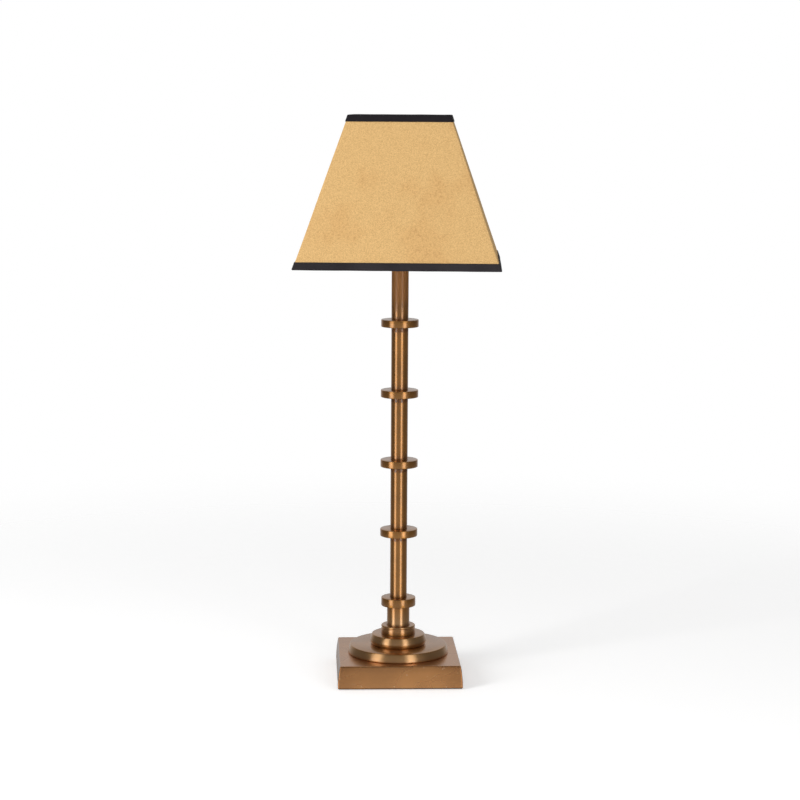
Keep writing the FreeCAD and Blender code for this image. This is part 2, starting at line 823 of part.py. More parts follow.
def make_carrier_seat():
    """The ring at the top of the carrier, with a lip that centres the shade."""
    lip = carrier_seat_bore_radius + carrier_lip_wall
    return turned(
        (carrier_seat_bore_radius, carrier_seat_bottom),
        (carrier_seat_radius, carrier_seat_bottom),
        (carrier_seat_radius, carrier_seat_top),
        (lip, carrier_seat_top),
        (lip, carrier_seat_top + carrier_lip_height),
        (carrier_seat_bore_radius, carrier_seat_top + carrier_lip_height),
    )


def make_clamp_washer():
    """The thin washer between the carrier and the threaded ring."""
    top = clamp_washer_bottom + clamp_washer_thickness
    return tube(clamp_washer_radius, sleeve_radius + carrier_fit, clamp_washer_bottom, top)


def make_clamp_ring():
    """The threaded ring that clamps the carrier, with notches for the fingers."""
    top = clamp_ring_bottom + clamp_ring_height
    ring = tube(clamp_ring_radius, sleeve_radius + clamp_ring_fit, clamp_ring_bottom, top)
    edges = [(clamp_ring_radius, clamp_ring_bottom), (clamp_ring_radius, top)]
    ring = round_rings(ring, clamp_ring_edge_round, *edges)
    notches = []
    for step in range(clamp_ring_notch_count):
        notch = Part.makeCylinder(clamp_ring_notch_radius, clamp_ring_height,
                                  FreeCAD.Vector(clamp_ring_radius, 0, clamp_ring_bottom))
        notch.rotate(origin, up, 360 * step / clamp_ring_notch_count)
        notches.append(notch)
    return ring.cut(notches)


def make_frame(height):
    """A square of wire that stiffens one edge of the shade from inside."""
    half_width = shade_half(height, laminate_thickness + frame_wire_radius + frame_gap)
    return square_wire(half_width, height, frame_corner_radius, frame_wire_radius)


def make_fitter_ring():
    """The flat ring by which the shade rests on the carrier."""
    return tube(fitter_bore + fitter_ring_width, fitter_bore, fitter_bottom, fitter_top)


def make_fitter_arms():
    """Four cranked wires from the fitter ring to the top frame."""
    low = fitter_top + frame_gap + frame_wire_radius
    frame_half = shade_half(top_frame_height, laminate_thickness + frame_wire_radius + frame_gap)
    start = fitter_bore + arm_set_back
    points = [
        (start, low),
        (start + arm_run, low),
        (start + arm_run + arm_rise_run, top_frame_height),
        (frame_half - frame_wire_radius - frame_gap, top_frame_height),
    ]
    arms = []
    for step in range(arm_count):
        arm = bent_wire(points, [arm_bend_radius, arm_bend_radius], frame_wire_radius)
        arm.rotate(origin, up, 360 * step / arm_count)
        arms.append(arm)
    return arms


def make_panel(quarter, outer_depth, inner_depth):
    """One flat side of the shade, between two depths inside its outer face."""
    low = shade_bottom + trim_thickness
    high = shade_top - trim_thickness
    section = [
        (shade_half(low, outer_depth), low),
        (shade_half(high, outer_depth), high),
        (shade_half(high, inner_depth), high),
        (shade_half(low, inner_depth), low),
    ]
    return mitred_side(section, quarter)


def make_trim(edge, way):
    """The ribbon folded over an edge of the shade, in four sides. The way is 1 below and -1 above."""
    fold = edge + way * trim_thickness
    outer_end = edge + way * trim_height
    inner_end = edge + way * trim_inner_height
    inner_depth = laminate_thickness + trim_thickness
    section = [
        (shade_half(edge, -trim_thickness), edge),
        (shade_half(outer_end, -trim_thickness), outer_end),
        (shade_half(outer_end, 0), outer_end),
        (shade_half(fold, 0), fold),
        (shade_half(fold, laminate_thickness), fold),
        (shade_half(inner_end, laminate_thickness), inner_end),
        (shade_half(inner_end, inner_depth), inner_end),
        (shade_half(edge, inner_depth), edge),
    ]
    return [mitred_side(section, quarter) for quarter in range(4)]


def save_foot():
    """Write the foot and the pieces inside it."""
    save("felt_pad", make_base_sheet(0, felt_thickness))
    save("base_board", make_base_sheet(felt_thickness, board_top))
    save("plinth", make_plinth())
    save("ballast_weight", make_ballast())
    save("inlet_bush", make_inlet_bush())
    rod_top = cap_bottom + rod_engagement
    save("threaded_rod", tube(rod_radius, rod_bore_radius, nut_bottom - rod_tail, rod_top))
    save("rod_nut", make_nut())
    save("rod_washer", tube(washer_radius, rod_hole_radius, nut_top, plinth_ceiling))
    save("base_disc_large", make_flared_disc(plinth_top, large_disc_top, large_disc_top_radius,
                                             large_disc_lip_radius, large_disc_undercut, large_disc_bow))
    save("base_disc_small", make_flared_disc(large_disc_top, small_disc_top, small_disc_top_radius,
                                             small_disc_lip_radius, small_disc_undercut, small_disc_bow))
    save("base_collar", make_base_collar())


def save_stem():
    """Write the neck, the collars and the tubes, from the bottom up."""
    save("stem_neck", make_neck())
    for step in range(tube_count):
        bottom = neck_top + step * stem_pitch
        radius = collar_radius if step else lowest_collar_radius
        top = stem_top if step == tube_count - 1 else bottom + stem_pitch
        save("stem_collar_" + str(step + 1), make_stem_collar(bottom, radius))
        save("stem_tube_" + str(step + 1), tube(tube_radius, tube_bore_radius, bottom + collar_height, top))
    save("stem_seat", make_stem_seat())


def save_lampholder():
    """Write the lampholder and the bulb."""
    save("holder_cap", make_holder_cap())
    save("holder_grub_screw", make_grub_screw())
    save("holder_sleeve", make_holder_sleeve())
    save("terminal_block", make_terminal_block())
    save("terminal_screws", *make_terminal_screws())
    save("insulating_liner", make_liner())
    save("screw_shell", make_screw_shell())
    save("centre_contact", make_centre_contact())
    save("bulb_glass", make_bulb_glass())
    save("bulb_cap", make_bulb_cap())
    save("bulb_insulator", make_bulb_insulator())
    save("bulb_contact", make_bulb_contact())


def save_carrier():
    """Write the shade carrier and what clamps it."""
    save("carrier_base", turn_with_shade(make_carrier_base()))
    save("carrier_wires", *[turn_with_shade(wire) for wire in make_carrier_wires()])
    save("carrier_seat", make_carrier_seat())
    save("clamp_washer", make_clamp_washer())
    save("clamp_ring", make_clamp_ring())


def save_shade():
    """Write the shade: its wire frame, its stiff lining, its cloth cover and its ribbon trim."""
    save("shade_frame_top", turn_with_shade(make_frame(top_frame_height)))
    save("shade_frame_bottom", turn_with_shade(make_frame(bottom_frame_height)))
    save("fitter_ring", make_fitter_ring())
    save("fitter_arms", *[turn_with_shade(arm) for arm in make_fitter_arms()])
    for quarter, side in enumerate(("front", "right", "back", "left")):
        save("shade_cover_" + side, turn_with_shade(make_panel(quarter, 0, cover_thickness)))
        lining = make_panel(quarter, cover_thickness, laminate_thickness)
        save("shade_lining_" + side, turn_with_shade(lining))
    save("shade_trim_bottom", *[turn_with_shade(side) for side in make_trim(shade_bottom, 1)])
    save("shade_trim_top", *[turn_with_shade(side) for side in make_trim(shade_top, -1)])


os.makedirs("parts", exist_ok=True)
save_foot()
save_stem()
save_lampholder()
save_carrier()
save_shade()
print("height of the lamp", round(shade_top, 2))
print("shade from", round(shade_bottom, 2), "to", round(shade_top, 2))
print("bulb from", round(bulb_bottom, 2), "to", round(bulb_top, 2))
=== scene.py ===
import logging
import math
from dataclasses import dataclass
from enum import Enum

import bmesh
import bpy
from mathutils import Matrix, Vector, noise


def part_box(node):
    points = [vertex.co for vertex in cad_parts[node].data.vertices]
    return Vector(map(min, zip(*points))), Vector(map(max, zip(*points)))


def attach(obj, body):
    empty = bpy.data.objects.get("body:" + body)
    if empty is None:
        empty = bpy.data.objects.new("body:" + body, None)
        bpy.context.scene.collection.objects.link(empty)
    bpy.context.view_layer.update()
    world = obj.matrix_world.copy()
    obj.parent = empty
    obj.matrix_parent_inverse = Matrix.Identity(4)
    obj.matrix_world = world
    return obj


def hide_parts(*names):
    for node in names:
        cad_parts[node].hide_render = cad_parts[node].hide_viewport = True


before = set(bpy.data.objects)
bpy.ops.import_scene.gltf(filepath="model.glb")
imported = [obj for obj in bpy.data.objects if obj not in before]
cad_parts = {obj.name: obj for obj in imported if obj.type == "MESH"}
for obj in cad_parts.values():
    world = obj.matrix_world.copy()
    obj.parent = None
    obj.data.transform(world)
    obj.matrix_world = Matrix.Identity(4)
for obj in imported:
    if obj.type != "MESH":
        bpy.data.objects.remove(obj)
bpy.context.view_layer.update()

log = logging.getLogger("table_lamp")

Triple = tuple[float, float, float]
Colour = Triple
Pair = tuple[float, float]
# A range, and what its two ends become.
Step = tuple[Pair, Pair]
Material = bpy.types.Material
Piece = bpy.types.Object
Shape = bmesh.types.BMesh
Socket = bpy.types.NodeSocket

MM = 0.001
TOUCH = 0.001 * MM
MERGE = 0.1 * TOUCH
SHADE_TURN = math.radians(-4.5)
KEY_DEG = -53.0
FILL_DEG = 28.0
CLOUDY = (0.35, 0.65)
GRAINY = (0.3, 0.7)
LACQUER = {"Coat Roughness": 0.16, "Coat IOR": 1.6}


class Side(Enum):
    """The four sides of the shade, counted round from the front."""

    FRONT = "front"
    RIGHT = "right"
    BACK = "back"
    LEFT = "left"

    @classmethod
    def nodes(cls, start: str) -> list[str]:
        """The four CAD nodes whose names are this start and a side."""
        return [start + side.value for side in cls]


class Body(Enum):
    """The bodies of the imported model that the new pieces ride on."""

    STAND = "lamp_stand"
    SHADE = "shade"


@dataclass(frozen=True)
class Grain:
    """A fractal noise: its features per metre, its finer layers and how strong those are."""

    per_m: float
    layers: float = 2.0
    strength: float = 0.5


class Bench:
    """The node tree of a material or a world, with short ways to add nodes and join them."""

    def __init__(self, name: str, world: bool = False) -> None:
        """Start a material or a world with nothing but its output.

        Args:
            name: Its name.
            world: True for a world.
        """
        self.owner = (bpy.data.worlds if world else bpy.data.materials).new(name)
        self.owner.use_nodes = True
        self.tree = self.owner.node_tree
        self.tree.nodes.clear()
        self.output = self.node("OutputWorld" if world else "OutputMaterial")

    def node(self, kind: str, inputs: dict | None = None, **settings: object) -> bpy.types.Node:
        """Add a node.

        Args:
            kind: The node's type, without the ShaderNode in front.
            inputs: Values for its sockets, by name or place. A socket as a value is linked.
            settings: Properties of the node itself.

        Returns:
            The new node.
        """
        made = self.tree.nodes.new("ShaderNode" + kind)
        for name, value in settings.items():
            setattr(made, name, value)
        for key, value in (inputs or {}).items():
            if isinstance(value, Socket):
                self.tree.links.new(value, made.inputs[key])
            else:
                made.inputs[key].default_value = value
        return made

    def finish(self, surface: Socket) -> Material | bpy.types.World:
        """Join a surface to the output, and return the material or the world."""
        self.tree.links.new(surface, self.output.inputs["Surface"])
        return self.owner

    def place(self) -> Socket:
        """The point on the object, in its own coordinates."""
        return self.node("TexCoord").outputs["Object"]

    def parts(self, vector: Socket) -> list[Socket]:
        """The three parts of a vector."""
        return list(self.node("SeparateXYZ", {0: vector}).outputs)

    def pair(self, first: Socket, second: Socket) -> Socket:
        """A vector with two parts and no third."""
        return self.node("CombineXYZ", {0: first, 1: second}).outputs[0]

    def vector(self, kind: str, *values: Socket | Triple, output: int | str = 0) -> Socket:
        """The result of one operation on vectors."""
        return self.node("VectorMath", dict(enumerate(values)), operation=kind).outputs[output]

    def from_axis(self, place: Socket) -> tuple[Socket, Socket]:
        """The level vector from the Z axis to a place, and its length."""
        across = self.pair(*self.parts(place)[:2])
        return across, self.vector("LENGTH", across, output="Value")

    def scaled(self, vector: Socket, scale: Triple, turn: float = 0.0) -> Socket:
        """A vector turned about Z, in radians, and stretched along the axes."""
        inputs = {"Vector": vector, "Rotation": (0, 0, turn), "Scale": scale}
        return self.node("Mapping", inputs).outputs["Vector"]

    def noise(self, vector: Socket, grain: Grain) -> Socket:
        """Fractal noise from about 0.3 to 0.7."""
        inputs = {"Vector": vector, "Scale": grain.per_m, "Detail": grain.layers, "Roughness": grain.strength}
        return self.node("TexNoise", inputs).outputs["Fac"]

    def spread(self, value: Socket, old: Pair, new: Pair = (0.0, 1.0)) -> Socket:
        """A value moved smoothly from one range to another."""
        inputs = {"Value": value, "From Min": old[0], "From Max": old[1], "To Min": new[0], "To Max": new[1]}
        return self.node("MapRange", inputs, interpolation_type="SMOOTHSTEP").outputs["Result"]

    def math(self, kind: str, first: Socket | float, second: Socket | float = 0.0) -> Socket:
        """The result of one operation on one or two values."""
        return self.node("Math", {0: first, 1: second}, operation=kind).outputs[0]

    def plus(self, first: Socket, second: Socket | float) -> Socket:
        """The sum of two values."""
        return self.math("ADD", first, second)

    def times(self, first: Socket, second: Socket | float) -> Socket:
        """The product of two values."""
        return self.math("MULTIPLY", first, second)

    def size(self, value: Socket) -> Socket:
        """A value without its sign."""
        return self.math("ABSOLUTE", value)

    def between(self, share: Socket, first: Socket | float, second: Socket | float) -> Socket:
        """A value that goes from the first to the second as the share goes from 0 to 1."""
        return self.node("Mix", {0: share, 2: first, 3: second}, data_type="FLOAT").outputs[0]

    def mix(self, share: Socket, first: Socket | Colour, second: Colour) -> Socket:
        """A colour that goes from the first to the second as the share goes from 0 to 1."""
        start = first if isinstance(first, Socket) else (*first, 1.0)
        return self.node("Mix", {0: share, 6: start, 7: (*second, 1.0)}, data_type="RGBA").outputs[2]

    def mottled(self, value: Socket, span: Pair, colour: Colour, darkest: float) -> Socket:
        """A colour that is darker where a noise is low, down to the darkest share of it."""
        darker = tuple(darkest * channel for channel in colour)
        return self.mix(self.spread(value, span), darker, colour)

    def bump(self, height: Socket, depth: float, under: Socket | None = None) -> Socket:
        """A normal bumped by a relief of a depth in metres, over another bumped normal if there is one."""
        inputs = {"Height": height, "Distance": depth, "Strength": 1.0}
        return self.node("Bump", inputs | ({"Normal": under} if under else {})).outputs["Normal"]

    def principled(self, inputs: dict) -> Material:
        """Finish the material with the standard surface, from values for its sockets by name."""
        return self.finish(self.node("BsdfPrincipled", inputs).outputs[0])


@dataclass(frozen=True)
class TurnedBrass:
    """Antique brass, turned on a lathe and lacquered: fine grooves round the axis, painted shade and tarnish
    in the corners, and a flatter painted tone on the top tube where the lampshade shades it.
    """

    colour: Colour = (0.655, 0.275, 0.042)
    darkest: float = 0.8
    worn: Colour = (0.85, 0.52, 0.24)
    worn_share: float = 0.55
    # Painted shade: a flatter, paler tone, more roughness and less lacquer on the top tube, where the
    # lampshade blocks its reflections.
    under_lampshade_paint: Colour = (0.73, 0.385, 0.145)
    under_lampshade_heights: Pair = (0.343, 0.366)
    # Painted shade with tarnish: the dark brown laid over the seams where pieces meet, and how much of it.
    seam_shade_and_tarnish: Colour = (0.24, 0.10, 0.03)
    seam_shade_and_tarnish_share: float = 0.35
    roughness: float = 0.35
    face_roughness: float = 0.24
    under_lampshade_roughness: float = 0.62
    seam_shade_and_tarnish_roughness: float = 0.2
    dulled_by: float = 0.4
    anisotropy: float = 0.9
    anisotropy_turn: float = 0.25
    lacquer: float = 1.0
    under_lampshade_lacquer: float = 0.3
    clouds: Grain = Grain(38.0, 4.0, 0.6)
    smears: Grain = Grain(90.0)
    smear_stretch: Triple = (1, 1, 0.25)
    smear_step: Step = ((0.35, 0.7), (-0.01, 0.02))
    grooves: Grain = Grain(2600.0, 3.0, 0.7)
    groove_depth: float = 0.0012 * MM

    def material(self) -> Material:
        """Build the material, which reads a turning's attributes for wear, painted shade and tarnish at the
        seams, dullness and how level the surface lies.

        Returns:
            The material.
        """
        bench = Bench("brass_turned")
        place = bench.place()
        height = bench.parts(place)[2]
        across, radius = bench.from_axis(place)
        grooves = bench.noise(bench.pair(radius, height), self.grooves)
        smears = bench.noise(bench.scaled(place, self.smear_stretch), self.smears)
        worn, seam_shaded_and_tarnished, dulled, lying = (bench.node("Attribute", attribute_name=name).outputs["Fac"]
                                          for name in Turning.ATTRIBUTES)
        # Painted shade on the top tube under the lampshade.
        under_lampshade_paint = bench.spread(height, self.under_lampshade_heights)
        tone = bench.mottled(bench.noise(place, self.clouds), CLOUDY, self.colour, self.darkest)
        tone = bench.mix(under_lampshade_paint, tone, self.under_lampshade_paint)
        tone = bench.mix(bench.times(worn, self.worn_share), tone, self.worn)
        # Painted shade with tarnish darkens the brass near the seams.
        tone = bench.mix(bench.times(seam_shaded_and_tarnished, self.seam_shade_and_tarnish_share), tone, self.seam_shade_and_tarnish)
        dull = bench.between(lying, self.roughness, self.face_roughness)
        dull = bench.plus(dull, bench.spread(smears, *self.smear_step))
        for share, more in ((under_lampshade_paint, self.under_lampshade_roughness), (seam_shaded_and_tarnished, self.seam_shade_and_tarnish_roughness), (dulled, self.dulled_by)):
            dull = bench.plus(dull, bench.times(share, more))
        return bench.principled({
            "Base Color": tone,
            "Metallic": 1.0,
            "Roughness": dull,
            "Anisotropic": self.anisotropy,
            "Anisotropic Rotation": self.anisotropy_turn,
            "Coat Weight": bench.between(under_lampshade_paint, self.lacquer, self.under_lampshade_lacquer),
            "Tangent": bench.vector("NORMALIZE", bench.vector("CROSS_PRODUCT", (0, 0, 1), across)),
            "Normal": bench.bump(grooves, self.groove_depth),
            **LACQUER,
        })


@dataclass(frozen=True)
class CastBrass:
    """The same brass on the square foot: ground and lacquered, with no lathe grooves."""

    colour: Colour = (0.76, 0.34, 0.105)
    darkest: float = 0.86
    # Painted shade: a darker brown towards the ends of each side and near its top edge, where the sides
    # reflect a darker room.
    painted_reflection_shade: Colour = (0.50, 0.21, 0.06)
    end_step: Step = ((26 * MM, 58 * MM), (0.0, 0.6))
    brow_step: Step = ((14 * MM, 22 * MM), (0.0, 0.5))
    side_step: Step = ((21.0 * MM, 22.1 * MM), (1.0, 0.0))
    speck: Colour = (0.92, 0.66, 0.40)
    speck_step: Step = ((0.70, 0.75), (0.0, 0.45))
    specks: Grain = Grain(430.0, 1.0)
    clouds: Grain = Grain(34.0, 1.0)
    dents: Grain = Grain(70.0, 0.0)
    dent_depth: float = 0.02 * MM
    roughnesses: Pair = (0.25, 0.29)
    lacquer: float = 0.9

    def material(self) -> Material:
        """Build the material.

        Returns:
            The material.
        """
        bench = Bench("brass_cast")
        place = bench.place()
        x, y, height = bench.parts(place)
        clouds = bench.noise(place, self.clouds)
        # Painted shade towards the ends of the sides and near the top edge.
        to_end = bench.spread(bench.math("MINIMUM", bench.size(x), bench.size(y)), *self.end_step)
        painted_reflection_shade = bench.plus(to_end, bench.spread(height, *self.brow_step))
        painted_reflection_shade = bench.times(painted_reflection_shade, bench.spread(height, *self.side_step))
        tone = bench.mottled(clouds, CLOUDY, self.colour, self.darkest)
        tone = bench.mix(painted_reflection_shade, tone, self.painted_reflection_shade)
        tone = bench.mix(bench.spread(bench.noise(place, self.specks), *self.speck_step), tone, self.speck)
        return bench.principled({
            "Base Color": tone,
            "Metallic": 1.0,
            "Roughness": bench.spread(clouds, GRAINY, self.roughnesses),
            "Coat Weight": self.lacquer,
            "Normal": bench.bump(bench.noise(place, self.dents), self.dent_depth),
            **LACQUER,
        })


@dataclass(frozen=True)
class SuedeCloth:
    """Gold suede-like cloth: a short brushed pile, mottled where it lies another way."""

    deep: Colour = (0.565, 0.345, 0.137)
    light: Colour = (0.755, 0.49, 0.212)
    pile: Grain = Grain(1100.0, 3.0, 0.7)
    pile_span: Pair = (0.34, 0.62)
    pile_depth: float = 0.12 * MM
    rubbed: Colour = (0.625, 0.35, 0.132)
    rubbed_share: float = 0.3
    rubs: Grain = Grain(21.0, 3.0, 0.55)
    rub_stretch: Triple = (1, 1, 0.8)
    rub_span: Pair = (0.50, 0.64)
    fleck: Colour = (0.50, 0.28, 0.11)
    fleck_share: float = 0.42
    flecks: Grain = Grain(480.0, 2.0, 0.6)
    fleck_span: Pair = (0.50, 0.66)
    flecks_elsewhere: float = 0.25
    sheen: Colour = (1.0, 0.86, 0.62)

    def material(self) -> Material:
        """Build the material.

        Returns:
            The material.
        """
        bench = Bench("suede_cloth")
        place = bench.place()
        pile = bench.noise(place, self.pile)
        rubs = bench.noise(bench.scaled(place, self.rub_stretch), self.rubs)
        patch = bench.spread(rubs, self.rub_span)
        tone = bench.mix(bench.spread(pile, self.pile_span), self.deep, self.light)
        tone = bench.mix(bench.times(patch, self.rubbed_share), tone, self.rubbed)
        fleck = bench.spread(bench.noise(place, self.flecks), self.fleck_span)
        fleck = bench.times(fleck, bench.plus(patch, self.flecks_elsewhere))
        tone = bench.mix(bench.times(fleck, self.fleck_share), tone, self.fleck)
        return bench.principled({
            "Base Color": tone,
            "Roughness": 0.95,
            "Specular IOR Level": 0.15,
            "Sheen Weight": 0.08,
            "Sheen Roughness": 0.45,
            "Sheen Tint": (*self.sheen, 1.0),
            "Normal": bench.bump(pile, self.pile_depth),
        })


@dataclass(frozen=True)
class Ribbon:
    """Black ribbed ribbon. The ribs run across it, so they follow the side of the square that they are on."""

    colour: Colour = (0.013, 0.011, 0.013)
    ribs_per_m: float = 1700.0
    rib_depth: float = 0.08 * MM
    thread: Colour = (0.021, 0.018, 0.021)
    threads: Grain = Grain(2400.0, 2.0, 0.6)
    thread_depth: float = 0.03 * MM
    # Painted light: paler patches on the bottom ribbon only, standing in for light bounced up from the floor.
    painted_bounce_light: Colour = (0.045, 0.040, 0.043)
    bounce_light_grain: Grain = Grain(16.0, 1.0)
    bounce_light_step: Step = ((0.35, 0.6), (0.0, 0.55))
    low_step: Step = ((0.46, 0.48), (1.0, 0.0))

    def material(self) -> Material:
        """Build the material.

        Returns:
            The material.
        """
        bench = Bench("black_ribbon")
        place = bench.place()
        x, y, height = bench.parts(bench.scaled(place, (1, 1, 1), -SHADE_TURN))
        along = bench.between(bench.math("GREATER_THAN", bench.size(x), bench.size(y)), x, y)
        ribs = bench.spread(bench.math("SINE", bench.times(along, self.ribs_per_m * math.tau)), (-1.0, 1.0))
        threads = bench.noise(place, self.threads)
        tone = bench.mix(bench.times(ribs, threads), self.colour, self.thread)
        # Painted light on the bottom ribbon.
        painted_bounce_light = bench.spread(bench.noise(place, self.bounce_light_grain), *self.bounce_light_step)
        tone = bench.mix(bench.times(bench.spread(height, *self.low_step), painted_bounce_light), tone, self.painted_bounce_light)
        return bench.principled({
            "Base Color": tone,
            "Roughness": 0.62,
            "Specular IOR Level": 0.2,
            "Sheen Weight": 0.05,
            "Sheen Roughness": 0.4,
            "Normal": bench.bump(threads, self.thread_depth, bench.bump(ribs, self.rib_depth)),
        })


@dataclass(frozen=True)
class Plain:
    """A finish of one tone with a fine texture: enamel, plastic, ceramic, plated steel and the like."""

    name: str
    colour: Colour
    roughness: float
    metallic: float = 0.0
    grain_per_m: float = 900.0
    grain_depth: float = 0.01 * MM
    mottle: float = 0.08
    coat: float = 0.0
    coat_roughness: float = 0.08
    clouds: Grain = Grain(90.0, 3.0, 0.6)
    smoothest: float = 0.9
    roughest: float = 1.12

    def material(self) -> Material:
        """Build the material.

        Returns:
            The material.
        """
        bench = Bench(self.name)
        place = bench.place()
        grain = bench.noise(place, Grain(self.grain_per_m, self.clouds.layers, self.clouds.strength))
        clouds = bench.noise(place, self.clouds)
        dulls = (self.roughness * self.smoothest, min(1.0, self.roughness * self.roughest))
        return bench.principled({
            "Base Color": bench.mottled(clouds, GRAINY, self.colour, 1 - self.mottle),
            "Metallic": self.metallic,
            "Roughness": bench.spread(grain, GRAINY, dulls),
            "Coat Weight": self.coat,
            "Coat Roughness": self.coat_roughness,
            "Normal": bench.bump(grain, self.grain_depth),
        })


def dress(finish: Plain, *nodes: str) -> None:
    """Give CAD nodes a finish.

    Args:
        finish: The finish for all of them.
        nodes: The nodes' names.
    """
    material = finish.material()
    for name in nodes:
        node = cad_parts[name]
        node.data.materials.clear()
        node.data.materials.append(material)


def link(made: Piece) -> Piece:
    """Put a new object into the scene, and return it."""
    bpy.context.scene.collection.objects.link(made)
    return made


def settle(shape: Shape, name: str, material: Material, crease: float = 35.0) -> Piece:
    """Turn a bmesh into a finished object at the origin.

    Args:
        shape: The shape, in metres in the lamp's frame. It is freed.
        name: The piece's name.
        material: Its material.
        crease: The angle in degrees over which an edge stays sharp.

    Returns:
        The new object.
    """
    mesh = bpy.data.meshes.new(name)
    shape.to_mesh(mesh)
    shape.free()
    mesh.shade_smooth()
    mesh.set_sharp_from_angle(angle=math.radians(crease))
    mesh.materials.append(material)
    return link(bpy.data.objects.new(name, mesh))


def hand_over(piece: Piece, body: Body, slot: str, *nodes: str) -> None:
    """Put a new piece on the body that it moves with and hide the CAD nodes that it stands for.

    Args:
        piece: The piece.
        body: The body that it moves with.
        slot: Not used.
        nodes: The CAD nodes that it replaces.
    """
    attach(piece, body.value)
    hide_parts(*nodes)
    log.info("%s rides on %s", piece.name, body.value)


def raise_by(shape: Shape, height: float, points: list) -> None:
    """Move points of a shape up."""
    bmesh.ops.translate(shape, vec=(0, 0, height), verts=points)


def round_off(shape: Shape, parts: list, radius: float, steps: int, affect: str = "EDGES") -> None:
    """Round edges of a shape, or its corners where affect is VERTICES."""
    bmesh.ops.bevel(shape, geom=parts, offset=radius, offset_type="OFFSET", segments=steps, profile=0.5,
                    affect=affect, material=-1, clamp_overlap=True)


def rounded_square(half: float, height: float, corner: float, steps: int) -> Shape:
    """A level square face with rounded corners.

    Args:
        half: Half its width.
        height: Its height.
        corner: The radius of its corners.
        steps: The number of stretches in each corner.

    Returns:
        The shape.
    """
    bm = bmesh.new()
    bmesh.ops.create_grid(bm, x_segments=1, y_segments=1, size=half)
    round_off(bm, bm.verts[:], corner, steps, "VERTICES")
    raise_by(bm, height, bm.verts[:])
    return bm


def bow(start: Pair, end: Pair, rise: float, steps: int) -> list[Pair]:
    """Points along a shallow arc between two points, without its ends.

    Args:
        start: The arc's start, as radius and height.
        end: Its end.
        rise: How far it bulges away from the axis.
        steps: The number of stretches.

    Returns:
        The points between the ends.
    """
    along = Vector(end) - Vector(start)
    side = Vector((abs(along.y), -along.x if along.y > 0 else along.x)).normalized()
    points = []
    for step in range(1, steps):
        share = step / steps
        point = Vector(start) + along * share + side * (4 * rise * share * (1 - share))
        points.append((point.x, point.y))
    return points


